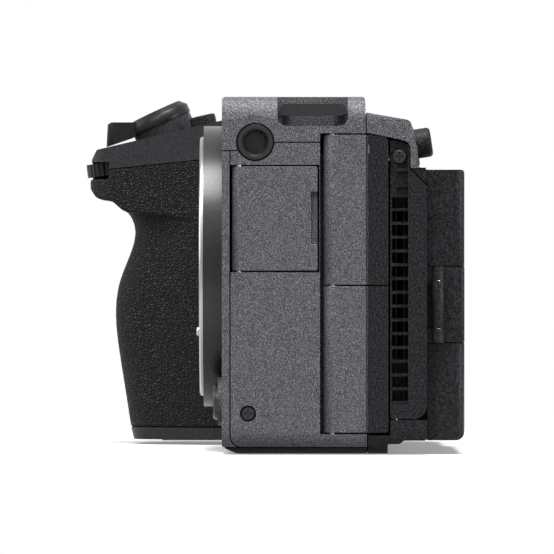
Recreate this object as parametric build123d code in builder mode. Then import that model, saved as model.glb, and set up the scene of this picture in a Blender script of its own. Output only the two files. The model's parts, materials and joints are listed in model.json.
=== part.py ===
from build123d import *
from math import cos, radians, sin, tan

# Compact cinema camera body without a lens. Millimetres.
# X runs to the port side, Y to the rear and Z up. X = 0 is the optical axis, Y = 0 the sensor plane
# and Z = 0 the underside of the base, so the origin is the mouth of the tripod thread.

# Casing
port_x = 50.0
grip_x = -79.7
front_y = -12.8
rear_y = 31.8
top_z = 77.8
side_wall = 2.4
skin_wall = 1.9
side_corner_r = 2.5
seam = 0.25
long_edge_radius = 5.0
foot_front_y = -9.5
foot_rear_y = 23.3
rear_bottom_z = 2.9
chin_z = 1.5
step_y = 18.45
step_z = top_z - 3.5
rear_top_y = rear_y - 2.8
rear_top_z = top_z - 7.6
monitor_top_z = top_z - 15.5
grip_shoulder_z = top_z - 3.3
grip_shoulder_x = grip_x + 44.2
plateau_edge_x = grip_shoulder_x + 2.5
front_seam_z = top_z - 11.8
top_seam_z = top_z - 10.0
vent_front_y = rear_y - 8.1
vent_rear_y = rear_y - 3.8
vent_low_z = 7.65

# Rear block behind the grip, which carries the thumb controls
block_x = grip_x + 50.5
block_rear_y = rear_y + 6.2
block_neck_y = rear_y + 3.7
block_top_z = monitor_top_z - 1.3
block_neck_z = block_top_z - 9.0
block_slope_z = block_top_z - 15.0

# Lens mount
mount_z = top_z - 36.9
throat_r = 23.05
base_ring_r = 31.4
base_ring_front_y = -17.15
flange_r = 29.0
flange_front_y = -18.0
claw_r = 21.9
claw_angle = 62.0
claw_thick = 2.3
throat_rear_y = -9.6
pin_circle_r = 26.0
pin_height = -14.4
pin_r = 1.0
pin_proud = 0.6
release_x = 23.0
release_z = 11.0
release_boss_r = 5.3
release_r = 4.1
release_proud = 1.0
run_gap = 0.05

# Threaded holes for accessories
insert_r = 4.15
thread_r = 2.6
insert_length = 7.0
insert_bottom = 0.8
mouth_bevel = 0.45
rim_bevel = 0.4
tripod_insert_r = 6.0
tripod_barrel_r = 3.4
insert_seat_gap = 0.04
side_thread_y = -5.54
side_thread_z = top_z - 9.95
side_boss_r = 5.9
boss_depth = 8.5
grip_thread_y = 4.0
grip_thread_z = top_z - 16.8
top_thread_x = 29.0
top_thread_y = 7.0
front_thread_y = -7.2

# Strap bars
slot_front_y = -0.7
slot_rear_y = 14.6
slot_depth = 6.2
slot_floor_z = top_z - 6.45
bar_low_z = top_z - 4.2
bar_high_z = top_z - 1.6
bar_end_gap = 0.35
bar_thick = 2.2
bar_set_back = 0.25

# Accessory shoe
shoe_half = 9.3
shoe_lip_half = 6.35
shoe_front_y = -1.6
shoe_floor = 1.0
shoe_gap_z = 2.1
shoe_lip = 1.3
shoe_side = 1.4
bed_wall = 1.5

# Port doors
door_thick = 1.4
door_gap = 0.35
pocket_gap = 0.3
edge_gap = 0.05
port_floor_x = port_x - 5.4
port_floor_thick = 1.4
audio_front_y = -10.6
audio_rear_y = 8.35
audio_high_z = top_z - 15.26
audio_low_z = audio_high_z - 22.67
audio_edge_r = 1.5
notch_low_z = audio_low_z + 5.73
notch_high_z = audio_high_z - 5.54
notch_width = 1.45
notch_depth = 0.9
tall_front_y = 9.3
tall_rear_y = 23.4
tall_edge_y = 18.85
tall_edge_r = 1.9
tall_pocket_front_y = 8.55
step_sink = 0.7
pull_depth = 0.4
pull_corner_r = 0.8
tall_split_z = 36.65
tall_low_z = 4.65
tall_high_z = top_z - 8.4
hinge_pin_r = 0.6
pin_reach = 1.1

# Port sockets
jack_y = -1.2
jack_z = (audio_high_z - 16.54, audio_high_z - 6.04)
jack_r = 3.7
jack_bore_r = 1.75
video_z = tall_high_z - 14.4
video_size = (5.6, 15.2)
video_hole = (4.6, 14.0)
data_z = 27.0
data_size = (4.4, 10.2)
data_hole = (2.6, 8.4)
service_z = 14.0
service_size = (3.6, 8.8)
service_hole = (2.2, 7.0)
socket_y = 15.6
socket_length = 11.0

# Vent
louvre_pitch = 3.0
louvre_thick = 0.65
louvre_set_back = 1.2
louvre_depth = 3.3
louvre_low_z = 11.5
vent_rib_y = (24.9, 26.7)
vent_plate = 0.8
louvre_high_z = top_z - 21.3
vent_ledge_z = (top_z - 19.4, top_z - 16.0)
vent_frame_x = port_x - 6.4

# Grip
grip_root_x = grip_x + 35.7
grip_inner_x = grip_x + 33.2
grip_inner_y = -20.0
grip_front_x = grip_x + 28.2
grip_outer_x = grip_x + 6.2
grip_corner_drop = 9.0
grip_skin = 1.5
grip_core_gap = 0.1
grip_wall_x = 4.0
grip_cap_z = 3.75
grip_bottom_z = 1.0
nose_front_y = -44.2
nose_low_z = top_z - 20.8
nose_seam_y = -41.4
grip_slope = 12.9
slope_y = -43.0
slope_z = top_z - 10.0
grip_stations = (
    (0.0, -33.4),
    (8.0, -35.4),
    (20.0, -37.3),
    (30.0, -38.3),
    (38.0, -37.2),
    (44.5, -34.7),
    (49.0, -33.8),
    (53.0, -35.2),
    (57.0, -38.0),
    (67.0, -39.0),
)

# Battery and its door
battery_x = (grip_x + 4.4, grip_x + 27.1)
battery_y = (-26.5, 12.2)
battery_z = (3.6, top_z - 22.5)
bay_gap = 0.35
bay_wall = 1.2
bay_door_low_z = 0.8
bay_door_thick = 1.4
bay_door_margin = 0.8
bay_hinge_r = 0.9
bay_pin_r = 0.4
lug_half = 1.3
lug_thick = 1.2
lug_gap = 0.2
latch_length = 4.0
latch_width = 7.0
latch_travel = 1.2

# Cards
card_door_y = (14.6, 27.0)
card_door_z = (20.0, top_z - 25.8)
card_edge_r = 1.5
card_unit_inner_x = grip_x + 33.7
card_unit_y = (14.9, 25.6)
card_unit_z = (card_door_z[0] + 1.5, card_door_z[1] - 1.5)
unit_gap = 0.1
card_slot_y = (17.5, 21.5)
card_slot_height = (card_unit_z[1] - card_unit_z[0]) / 2 - 2.3

# Shutter release, zoom ring and grip buttons
release_dial_x = grip_x + 17.7
ring_y = -29.0
ring_z = top_z - 0.8
ring_tilt = 25.0
ring_r = 7.35
ring_height = 3.25
ring_bevel = 1.4
ring_bore_r = 4.5
spigot_height = 0.9
tab_reach = 11.4
tab_half = 3.8
tab_gap = 0.4
shutter_button_r = 4.3
shutter_button_thick = 1.2
button_stem_r = 1.4
custom_r = 3.0
custom_y = -17.7
custom_x = (grip_x + 25.7, grip_x + 8.7)
custom_proud = 2.3
custom_sunk = 1.5
button_edge_r = 0.4

# Dials
front_dial_r = 8.4
front_dial_thick = 3.0
front_dial_y = -36.6
front_dial_z = top_z - 13.8
front_dial_tilt = 7.0
dial_axle_r = 1.5
dial_side_gap = 0.3
dial_rim_gap = 0.4
dial_teeth = 36
dial_tooth = 0.45
rear_dial_x = grip_x + 13.7
rear_dial_y = 27.5
rear_dial_z = top_z - 23.8
rear_dial_r = 9.0
rear_dial_thick = 3.4

# Controls on the back and the top
rear_wall_tilt = 8.6
rear_wall_y = 29.6
rear_wall_z = top_z - 11.55
joystick_u = -grip_x - 34.7
joystick_v = 2.6
joystick_r = 3.4
joystick_reach = 5.6
joystick_sunk = 2.2
gimbal_r = 3.1
gimbal_thick = 1.6
gimbal_bore_r = 1.7
pivot_r = 0.5
pivot_reach = 4.2
stick_r = 1.0
stick_pin_reach = 2.6
af_u = -grip_x - 19.7
af_v = 0.5
af_r = 3.0
af_proud = 0.9
menu_u = -34.0
menu_v = -1.0
menu_r = 2.2
menu_proud = 0.5
switch_u = 14.0
switch_v = 0.0
switch_length = 7.0
switch_width = 3.2
switch_travel = 3.5
switch_proud = 0.5
switch_corner_r = 1.2
wheel_x = grip_x + 27.7
wheel_z = 27.0
wheel_r = 9.5
wheel_bore_r = 4.7
wheel_thick = 1.7
wheel_proud = 0.8
wheel_teeth = 48
centre_r = 4.1
record_x = grip_x + 23.7
record_y = -2.0
record_r = 4.0
record_proud = 0.9

# Monitor
monitor_x = (block_x + 0.8, port_x - 4.3)
monitor_y = (rear_y + 0.15, rear_y + 8.3)
monitor_z = (2.9, monitor_top_z - 0.4)
monitor_split_y = rear_y + 6.1
bezel_x = 4.2
bezel_z = 3.4
glass_thick = 0.8
glass_set_back = 0.25
swing_x = port_x - 2.0
swing_y = rear_y + 2.45
arm_x = port_x - 10.4
arm_z = (24.3, 40.7)
barrel_r = 1.25
knuckle_height = 3.0
web_thick = 0.8
knuckle_gap = 0.15
swing_pin_r = 0.6
arm_gap = 0.25
trunnion_r = 1.8
trunnion_reach = 4.0
monitor_edge_r = 1.8
monitor_foot_r = 1.9
monitor_head_r = 0.8
monitor_end_r = 2.0

# Inside
frame_half_x = 26.0
post_drop = 19.0
frame_z = (3.2, mount_z + 19.1)
frame_y = (-7.5, -3.5)
aperture_half_x = 18.2
aperture_half_z = 12.2
curtain_thick = 0.6
curtain_gap = 0.15
curtain_z = (4.0, mount_z - aperture_half_z - 0.3)
sensor_half_x = 19.5
sensor_half_z = 14.0
sensor_thick = 1.4
carrier_y = (1.5, 3.5)
carrier_half_x = 19.0
carrier_half_z = 16.0
stabiliser_y = (3.7, 6.0)
stabiliser_half_x = 34.0
stabiliser_half_z = 26.0
stabiliser_window = (15.0, 12.0)
carrier_window = (14.0, 9.0)
post_r = 1.6
board_x = (grip_x + 35.7, port_x - 20.0)
board_z = (6.0, top_z - 13.8)
board_y = (9.0, 10.6)
sink_x = (-30.0, 28.0)
sink_z = (12.0, top_z - 17.8)
sink_base = 2.0
fin_pitch = 4.0
fin_thick = 1.2
fan_x = (port_x - 38.0, port_x - 8.0)
fan_z = (louvre_low_z + 8.5, louvre_high_z - 2.5)
fan_centre = (port_x - 24.0, (fan_z[0] + fan_z[1]) / 2)
fan_r = 12.0
fan_wall = 1.2
fan_y = (18.7, 27.2)
fan_blades = 11

# Screws
screw_head_r = 1.5
screw_head = 1.0
screw_shank_r = 0.8
screw_shank = 4.0
screw_sink = 0.25
side_screw = (-7.1, 8.8)
vent_screw = (rear_y - 6.0, top_z - 13.1)
base_screws = ((38.0, -4.0), (38.0, 15.4), (-38.0, -4.0), (-38.0, 15.4), (14.0, 15.4), (-14.0, 15.4))


def fill(x, y, z, mode=Mode.ADD):
    """Box between the limits x, y and z."""
    with Locations(((x[0] + x[1]) / 2, (y[0] + y[1]) / 2, (z[0] + z[1]) / 2)):
        Box(x[1] - x[0], y[1] - y[0], z[1] - z[0], mode=mode)


def rod(start, direction, radius, length, mode=Mode.ADD):
    """Round bar from start along direction."""
    with Locations(Plane(origin=start, z_dir=direction)):
        Cylinder(radius, length, align=(Align.CENTER, Align.CENTER, Align.MIN), mode=mode)


def prism(plane, corners, radii, length, mode=Mode.ADD):
    """Outline with rounded corners on a plane, drawn out along the plane's normal."""
    with BuildSketch(plane) as outline:
        with BuildLine():
            FilletPolyline(*corners, radius=radii, close=True)
        make_face()
    extrude(outline.sketch, amount=length, mode=mode)


def side_prism(corners, radii, x, mode=Mode.ADD):
    """Outline of (Y, Z) corners between two X limits."""
    prism(Plane.YZ.offset(x[0]), corners, radii, x[1] - x[0], mode)


def front_prism(corners, radii, y, mode=Mode.ADD):
    """Outline of (X, Z) corners between two Y limits."""
    prism(Plane.XZ.offset(-y[1]), corners, radii, y[1] - y[0], mode)


def plan_prism(corners, radii, z, mode=Mode.ADD):
    """Outline of (X, Y) corners between two Z limits."""
    prism(Plane.XY.offset(z[0]), corners, radii, z[1] - z[0], mode)


def rounded_slab(plane, width, height, radius, length, mode=Mode.ADD):
    """Rectangle with round corners on a plane, drawn out along the plane's normal."""
    with BuildSketch(plane) as outline:
        RectangleRounded(width, height, radius)
    extrude(outline.sketch, amount=length, mode=mode)


def gear_rim(plane, radius, tooth, teeth, length):
    """Knurled disc: a round blank with vee grooves around its rim."""
    with BuildSketch(plane) as outline:
        Circle(radius)
        with PolarLocations(radius, teeth):
            Rectangle(tooth, tooth, rotation=45, mode=Mode.SUBTRACT)
    extrude(outline.sketch, amount=length)


def save(piece, name):
    """Names a finished piece and writes its file."""
    piece.part.label = name
    export_step(piece.part, "parts/" + name + ".step")


# Outer form of the casing: its side outline and its front outline, drawn through each other
casing_side = (
    (front_y, chin_z),
    (foot_front_y, 0),
    (foot_rear_y, 0),
    (foot_rear_y, rear_bottom_z - 0.75),
    (rear_y - 5.9, rear_bottom_z - 0.75),
    (rear_y - 5.0, rear_bottom_z),
    (rear_y, rear_bottom_z),
    (rear_y, monitor_top_z),
    (rear_top_y + 1.2, monitor_top_z),
    (rear_top_y, rear_top_z),
    (rear_top_y - 0.9, rear_top_z + 2.4),
    (step_y + 0.1, step_z),
    (step_y - 0.12, top_z),
    (front_y, top_z),
)
casing_side_radii = (0.5, 1, 0, 0.4, 0, 0, 0.6, 0.3, 0.3, 3, 1.2, 0.3, 0.7, 0.8)
casing_front = (
    (grip_x, 0),
    (port_x, 0),
    (port_x, top_z),
    (plateau_edge_x, top_z),
    (grip_shoulder_x, grip_shoulder_z),
    (grip_x, grip_shoulder_z),
)
casing_front_radii = (3, long_edge_radius, long_edge_radius, 1.5, 1.5, 7)
block_side = (
    (rear_y - 2, rear_bottom_z),
    (block_rear_y, rear_bottom_z),
    (block_rear_y, block_slope_z),
    (block_neck_y, block_neck_z),
    (block_neck_y, block_top_z),
    (rear_y - 2, block_top_z),
)
block_side_radii = (0, 2.2, 4, 4, 2, 0)
block_plan = (
    (grip_x, rear_y - 2),
    (block_x, rear_y - 2),
    (block_x, block_rear_y),
    (grip_x, block_rear_y),
)
whole_x = (grip_x - 1, port_x + 1)

with BuildPart() as casing_form:
    side_prism(casing_side, casing_side_radii, (grip_x, port_x))
    front_prism(casing_front, casing_front_radii, (front_y, rear_y), mode=Mode.INTERSECT)

with BuildPart() as block_form:
    side_prism(block_side, block_side_radii, (grip_x, block_x))
    plan_prism(block_plan, (0, 0, 1.5, 5), (0, top_z), mode=Mode.INTERSECT)
    front_prism(casing_front, casing_front_radii, (rear_y - 2, block_rear_y), mode=Mode.INTERSECT)

# Room inside the casing
room_x = (grip_x + side_wall, port_x - side_wall)
room_front_y = front_y + skin_wall
room_low_z = chin_z + 0.1
with BuildPart() as room:
    fill(room_x, (room_front_y, rear_y - skin_wall), (rear_bottom_z + skin_wall, monitor_top_z - 1.5))
    fill(room_x, (room_front_y, foot_rear_y - 1), (room_low_z, monitor_top_z))
    fill(room_x, (room_front_y, rear_top_y - 2.2), (monitor_top_z - 2, step_z - skin_wall - 1.8))
    fill(
        (plateau_edge_x + 2, port_x - side_wall - 1.2),
        (room_front_y, step_y - 2),
        (monitor_top_z - 2, top_z - skin_wall),
    )

# Outer form of the grip: sections through its front, lofted, with a nose block above
slope_rise = tan(radians(grip_slope))


def slope_height(y):
    """Height of the sloped grip top at y."""
    return slope_z + (y - slope_y) * slope_rise


def grip_section(front, inset):
    """Corners of a plan section of the grip that reaches forward to front."""
    return (
        (grip_x + inset, front_y),
        (grip_root_x - inset, front_y),
        (grip_inner_x - inset, grip_inner_y),
        (grip_front_x - inset, front + inset),
        (grip_outer_x + inset, front + inset + 0.6),
        (grip_x + inset, front + grip_corner_drop + inset),
    )


def grip_radii(inset):
    """Corner radii of a plan section of the grip."""
    return (0, 0, 6 + inset, 6.5 - inset, 7 - inset, 8 - inset)


def grip_column(inset):
    """Lofted lower grip."""
    sections = []
    for height, front in grip_stations:
        with BuildSketch(Plane.XY.offset(height)) as section:
            with BuildLine():
                FilletPolyline(*grip_section(front, inset), radius=grip_radii(inset), close=True)
            make_face()
        sections.append(section.sketch)
    loft(sections)


def grip_nose(inset):
    """Block at the top of the grip, with the sloped top and the overhanging nose."""
    low = nose_low_z + inset
    reach = nose_front_y + inset
    corners = (
        (front_y, low - 6),
        (reach + 8.0, low - 3.4),
        (reach + 5.2, low - 0.9),
        (reach + 1.6, low - 0.4),
        (reach - 0.5, low + 3.0),
        (reach + 0.6, low + 8.8),
        (reach + 1.7, slope_height(reach + 1.7) - inset),
        (front_y, slope_height(front_y) - inset),
    )
    side_prism(corners, (0, 3, 2, 2.4, 2, 0.6, 0.5, 0), (grip_x + inset, grip_root_x - inset))
    plan_prism(grip_section(nose_front_y, inset), grip_radii(inset), (low - 20, top_z), mode=Mode.INTERSECT)


with BuildPart() as nose_form:
    grip_nose(0)
with BuildPart() as nose_core:
    grip_nose(grip_skin)
with BuildPart() as nose_bed:
    grip_nose(grip_skin + grip_core_gap)
with BuildPart() as column_form:
    grip_column(0)
with BuildPart() as column_core:
    grip_column(grip_skin)
with BuildPart() as column_bed:
    grip_column(grip_skin + grip_core_gap)

# Side outline of the skin's upper edge, which runs from the notch of the front dial up along the sloped seam
dial_notch_z = (front_dial_z - 2.9, front_dial_z + 1.1)
dial_notch_y = -39.6
skin_seam = (
    (nose_front_y - 4, dial_notch_z[1] - 0.5),
    (nose_seam_y, dial_notch_z[1] - 0.5),
    (nose_seam_y + 1, slope_z - 4.4),
    (-18.6, slope_z - 2.2),
    (front_y + 4, slope_z - 1.4),
)
above_seam = skin_seam + ((front_y + 4, top_z + 8), (nose_front_y - 4, top_z + 8))
below_seam = skin_seam + ((front_y + 4, -4), (nose_front_y - 4, -4))
seam_radii = (0, 0, 0, 0, 0, 0, 0)
grip_span = (grip_x - 1, grip_root_x + 1)

# Directions
toward_port = Vector(1, 0, 0)
toward_grip = Vector(-1, 0, 0)
upward = Vector(0, 0, 1)

# Axes of the tilted controls
ring_axis = Vector(0, -sin(radians(ring_tilt)), cos(radians(ring_tilt)))
ring_top = Vector(release_dial_x, ring_y, ring_z)
dial_axis = Vector(0, -sin(radians(front_dial_tilt)), cos(radians(front_dial_tilt)))
dial_centre = Vector(release_dial_x, front_dial_y, front_dial_z)
dial_slot_start = dial_centre - dial_axis * (front_dial_thick / 2 + dial_side_gap)
dial_slot_height = front_dial_thick + 2 * dial_side_gap
slope_axis = Vector(0, -sin(radians(grip_slope)), cos(radians(grip_slope)))
wall_axis = Vector(0, cos(radians(rear_wall_tilt)), sin(radians(rear_wall_tilt)))
wall_up = Vector(0, -sin(radians(rear_wall_tilt)), cos(radians(rear_wall_tilt)))
wall_origin = Vector(0, rear_wall_y, rear_wall_z)


def on_wall(u, v, out=0.0):
    """Point on the sloped back wall, u towards the grip side and v up the wall."""
    return wall_origin + Vector(-u, 0, 0) + wall_up * v + wall_axis * out


def custom_point(x):
    """Point on the sloped grip top where a small button stands."""
    return Vector(x, custom_y, slope_height(custom_y))


pivot = on_wall(joystick_u, joystick_v, -joystick_sunk)



def dial_notch():
    """Notch across the nose for the front dial, open to the front and to the port side."""
    fill((release_dial_x, grip_root_x + 1), (-60, dial_notch_y), dial_notch_z, mode=Mode.SUBTRACT)
    rod(dial_slot_start, dial_axis, front_dial_r + dial_rim_gap, dial_slot_height, mode=Mode.SUBTRACT)


# Battery bay and its door, measured out from the battery
bay_in_x = (battery_x[0] - bay_gap, battery_x[1] + bay_gap)
bay_in_y = (battery_y[0] - bay_gap, battery_y[1] + bay_gap)
bay_out_x = (grip_x + 1.2, bay_in_x[1] + bay_wall)
bay_out_z = battery_z[1] + bay_gap + bay_wall
door_x = (battery_x[0] - bay_door_margin, battery_x[1] + bay_door_margin)
door_y = (battery_y[0] - bay_door_margin, battery_y[1] + bay_door_margin)
door_z = (bay_door_low_z, bay_door_low_z + bay_door_thick)
bay_hinge_x = door_x[1] + bay_hinge_r
bay_hinge_z = bay_door_low_z + bay_hinge_r
bay_cut_x = (door_x[0] - pocket_gap, bay_hinge_x + bay_hinge_r + pocket_gap)
bay_cut_y = (door_y[0] - pocket_gap, door_y[1] + pocket_gap)
bay_cut_z = bay_hinge_z + bay_hinge_r + 0.15

seat_r = insert_r + insert_seat_gap

# Corner of the front cover that reaches back round the lower front corner of the port-side cover
with BuildPart() as corner_web:
    add(casing_form.part)
    fill(
        (port_x - side_wall, port_x + 1),
        (room_front_y - 2 * seam, room_front_y + side_corner_r),
        (chin_z, chin_z + side_corner_r),
        mode=Mode.INTERSECT,
    )
    corner_centre = (port_x - side_wall - 1, room_front_y + side_corner_r, chin_z + side_corner_r)
    rod(corner_centre, (1, 0, 0), side_corner_r + seam, side_wall + 3, mode=Mode.SUBTRACT)

# Front cover, with the throat hole and the boss of the lens release
lock_x = (pin_circle_r**2 - pin_height**2) ** 0.5
lock_z = mount_z + pin_height
with BuildPart() as front_cover:
    add(casing_form.part)
    fill(whole_x, (front_y - 1, room_front_y - seam), (chin_z, front_seam_z - seam / 2), mode=Mode.INTERSECT)
    rod((release_x, front_y - 1.1, release_z), (0, 1, 0), release_boss_r, 2.4)
    rod((0, front_y - 3, mount_z), (0, 1, 0), throat_r + 2.2, 8, mode=Mode.SUBTRACT)
    rod((release_x, front_y - 3, release_z), (0, 1, 0), release_r + run_gap, 8, mode=Mode.SUBTRACT)
    rod((lock_x, front_y - 3, lock_z), (0, 1, 0), pin_r + run_gap, 8, mode=Mode.SUBTRACT)
    rod((port_x - 10, side_thread_y, side_thread_z), (1, 0, 0), seat_r, 12, mode=Mode.SUBTRACT)
    fill((grip_x - 1, grip_x + grip_wall_x + seam), (front_y - 1, 0), (0, top_z), mode=Mode.SUBTRACT)
    fill((grip_x - 1, bay_out_x[1] + seam), (front_y - 1, 0), (0, bay_out_z + seam), mode=Mode.SUBTRACT)
    fill((grip_x - 1, bay_cut_x[1] + seam), (front_y - 1, 0), (0, grip_cap_z), mode=Mode.SUBTRACT)
    add(corner_web.part)
save(front_cover, "front_cover")

# Door pockets and hinge axes on the port side
pocket_low_z = tall_low_z - door_gap
pocket_high_z = tall_high_z + door_gap
pocket_rear_y = tall_rear_y + pocket_gap
audio_axis = (port_x - audio_edge_r, audio_front_y + audio_edge_r)
tall_axis = (port_x - tall_edge_r, tall_front_y + tall_edge_r)

# Top cover, with its thread bosses, strap slots and shoe pocket
cap_outline = (
    (front_y - 1, front_seam_z + seam / 2),
    (side_thread_y, front_seam_z + seam / 2),
    (side_thread_y, top_seam_z + seam / 2),
    (step_y, top_seam_z + seam / 2),
    (step_y, top_z + 1),
    (front_y - 1, top_z + 1),
)
shoe_low_z = top_z - 0.1 - shoe_lip - shoe_gap_z - shoe_floor
shoe_outer = shoe_half + shoe_side
grip_slot_z = grip_shoulder_z - (top_z - slot_floor_z)
with BuildPart() as top_cover:
    add(casing_form.part)
    add(room.part, mode=Mode.SUBTRACT)
    rod((port_x - boss_depth, side_thread_y, side_thread_z), (1, 0, 0), side_boss_r, boss_depth)
    side_prism(cap_outline, 0, whole_x, mode=Mode.INTERSECT)
    fill(
        (port_x - slot_depth - bed_wall, port_x - 3),
        (slot_front_y - bed_wall, slot_rear_y + bed_wall),
        (slot_floor_z - bed_wall, top_z - 1.5),
    )
    fill(
        (grip_x + 2.2, grip_x + slot_depth + bed_wall),
        (slot_front_y - bed_wall, slot_rear_y + bed_wall),
        (grip_slot_z - bed_wall, grip_shoulder_z - 1),
    )
    fill(
        (-shoe_outer - bed_wall, shoe_outer + bed_wall),
        (shoe_front_y - bed_wall, step_y - 0.1),
        (shoe_low_z - bed_wall, top_z - 0.5),
    )
    side_slot = ((slot_front_y, top_z + 2), (slot_front_y, slot_floor_z), (slot_rear_y, slot_floor_z))
    side_slot += ((slot_rear_y, top_z + 2),)
    side_prism(side_slot, (0, 2, 2, 0), (port_x - slot_depth, port_x + 1), mode=Mode.SUBTRACT)
    fill(
        (grip_x - 1, grip_x + slot_depth),
        (slot_front_y, slot_rear_y),
        (grip_slot_z, top_z),
        mode=Mode.SUBTRACT,
    )
    fill((-shoe_outer, shoe_outer), (shoe_front_y, step_y + 1), (shoe_low_z, top_z + 1), mode=Mode.SUBTRACT)
    rod((port_x - 9, side_thread_y, side_thread_z), (1, 0, 0), seat_r, 12, mode=Mode.SUBTRACT)
    for place in ((top_thread_x, top_thread_y), (-top_thread_x, top_thread_y), (0, front_thread_y)):
        rod((place[0], place[1], monitor_top_z), (0, 0, 1), seat_r, 20, mode=Mode.SUBTRACT)
    rod((record_x, record_y, monitor_top_z), (0, 0, 1), record_r + run_gap, 20, mode=Mode.SUBTRACT)
    fill(
        (port_floor_x, port_x + 1),
        (tall_pocket_front_y, step_y + 1),
        (monitor_top_z, pocket_high_z),
        mode=Mode.SUBTRACT,
    )
    rod((*tall_axis, pocket_high_z - 1), (0, 0, 1), hinge_pin_r, pin_reach + 1, mode=Mode.SUBTRACT)
    rod((*audio_axis, audio_high_z), (0, 0, 1), hinge_pin_r, door_gap + pin_reach, mode=Mode.SUBTRACT)
save(top_cover, "top_cover")

# Port-side cover, with its door pockets and the panel that carries the sockets
side_region = (
    (room_front_y, chin_z),
    (vent_front_y - seam / 2, chin_z),
    (vent_front_y - seam / 2, top_seam_z - seam / 2),
    (side_thread_y, top_seam_z - seam / 2),
    (side_thread_y, front_seam_z - seam / 2),
    (room_front_y, front_seam_z - seam / 2),
)
with BuildPart() as left_side_cover:
    add(casing_form.part)
    side_prism(side_region, (side_corner_r, 0, 0, 0, 0, 0), (port_x - 10, port_x + 1), mode=Mode.INTERSECT)
    add(room.part, mode=Mode.SUBTRACT)
    fill(
        (port_floor_x - port_floor_thick, port_x - 1.5),
        (room_front_y + seam, vent_front_y - seam / 2),
        (rear_bottom_z, front_seam_z - 0.5),
    )
    fill(
        (port_floor_x, port_x + 1),
        (front_y, audio_rear_y + 0.1),
        (audio_low_z - door_gap, audio_high_z + door_gap),
        mode=Mode.SUBTRACT,
    )
    fill(
        (port_floor_x, port_x + 1),
        (tall_pocket_front_y, pocket_rear_y),
        (pocket_low_z, pocket_high_z),
        mode=Mode.SUBTRACT,
    )
    rod((port_x - 10, side_thread_y, side_thread_z), (1, 0, 0), seat_r, 12, mode=Mode.SUBTRACT)
    for height in jack_z:
        rod((port_floor_x - 10, jack_y, height), (1, 0, 0), jack_r + run_gap, 14, mode=Mode.SUBTRACT)
    for height, size in ((video_z, video_size), (data_z, data_size), (service_z, service_size)):
        with Locations((port_floor_x, socket_y, height)):
            Box(8, size[0] + 2 * run_gap, size[1] + 2 * run_gap, mode=Mode.SUBTRACT)
    audio_bore_length = audio_high_z - audio_low_z + 4
    rod((*audio_axis, audio_low_z - 2), (0, 0, 1), hinge_pin_r, audio_bore_length, mode=Mode.SUBTRACT)
    rod((*tall_axis, tall_low_z - 1.6), (0, 0, 1), hinge_pin_r, 2, mode=Mode.SUBTRACT)
    rod((port_x - 6, side_screw[0], side_screw[1]), (1, 0, 0), screw_shank_r, 8, mode=Mode.SUBTRACT)
    rod((port_x - screw_head - screw_sink, *side_screw), (1, 0, 0), screw_head_r + 0.3, 3, mode=Mode.SUBTRACT)
    fill((port_x - 10, port_x + 1), (tall_edge_y - 0.1, rear_y), (0, pocket_low_z), mode=Mode.SUBTRACT)
save(left_side_cover, "left_side_cover")


def hinged_plate(front, rear, low, high, edge_r, bore_r):
    """Door plate flush with the port side, with a round hinge edge along its front."""
    rod((port_x - edge_r, front + edge_r, low), (0, 0, 1), edge_r, high - low)
    fill((port_x - door_thick, port_x), (front + edge_r, rear), (low, high))
    rod((port_x - edge_r, front + edge_r, low - 1), (0, 0, 1), bore_r, high - low + 2, mode=Mode.SUBTRACT)


pin_bore_r = hinge_pin_r + run_gap

# Audio door with its finger notch
with BuildPart() as audio_door:
    notch_y = audio_rear_y - door_gap
    hinged_plate(audio_front_y, notch_y, audio_low_z, audio_high_z, audio_edge_r, pin_bore_r)
    fill(
        (port_x - notch_depth, port_x + 1),
        (notch_y - notch_width, notch_y + 1),
        (notch_low_z, notch_high_z),
        mode=Mode.SUBTRACT,
    )
    chamfer(audio_door.faces().sort_by(Axis.Y)[-1].edges().filter_by(Axis.X), 0.3)
save(audio_door, "audio_door")

# Video door above and data door below, each a metal plate with a dark pull edge
video_span = (tall_split_z + door_gap / 2, tall_high_z)
data_span = (tall_low_z, tall_split_z - door_gap / 2)


def tall_plate(span):
    """Metal plate of a tall door, with a step along its rear that the dark edge sits on."""
    hinged_plate(tall_front_y, tall_edge_y - pocket_gap, span[0], span[1], tall_edge_r, pin_bore_r)
    fill((port_x - door_thick, port_x - step_sink), (tall_edge_y - 1, tall_edge_y + pocket_gap), span)


def pull_edge(span, radii, drop=0.0):
    """Dark edge along the rear of a tall door; its top rear corner lies lower by drop."""
    front = tall_edge_y + pocket_gap + edge_gap
    corners = ((front, span[0]), (tall_rear_y, span[0]), (tall_rear_y, span[1] - drop), (front, span[1]))
    side_prism(corners, radii, (port_x - door_thick - pull_depth, port_x - edge_gap))


with BuildPart() as video_door:
    tall_plate(video_span)
save(video_door, "video_door")
with BuildPart() as data_door:
    tall_plate(data_span)
save(data_door, "data_door")
with BuildPart() as video_door_edge:
    pull_edge(video_span, (0, 0, pull_corner_r, 0), drop=pull_corner_r)
save(video_door_edge, "video_door_edge")
with BuildPart() as data_door_edge:
    pull_edge(data_span, (0, pull_corner_r, 0, 0))
save(data_door_edge, "data_door_edge")

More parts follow.
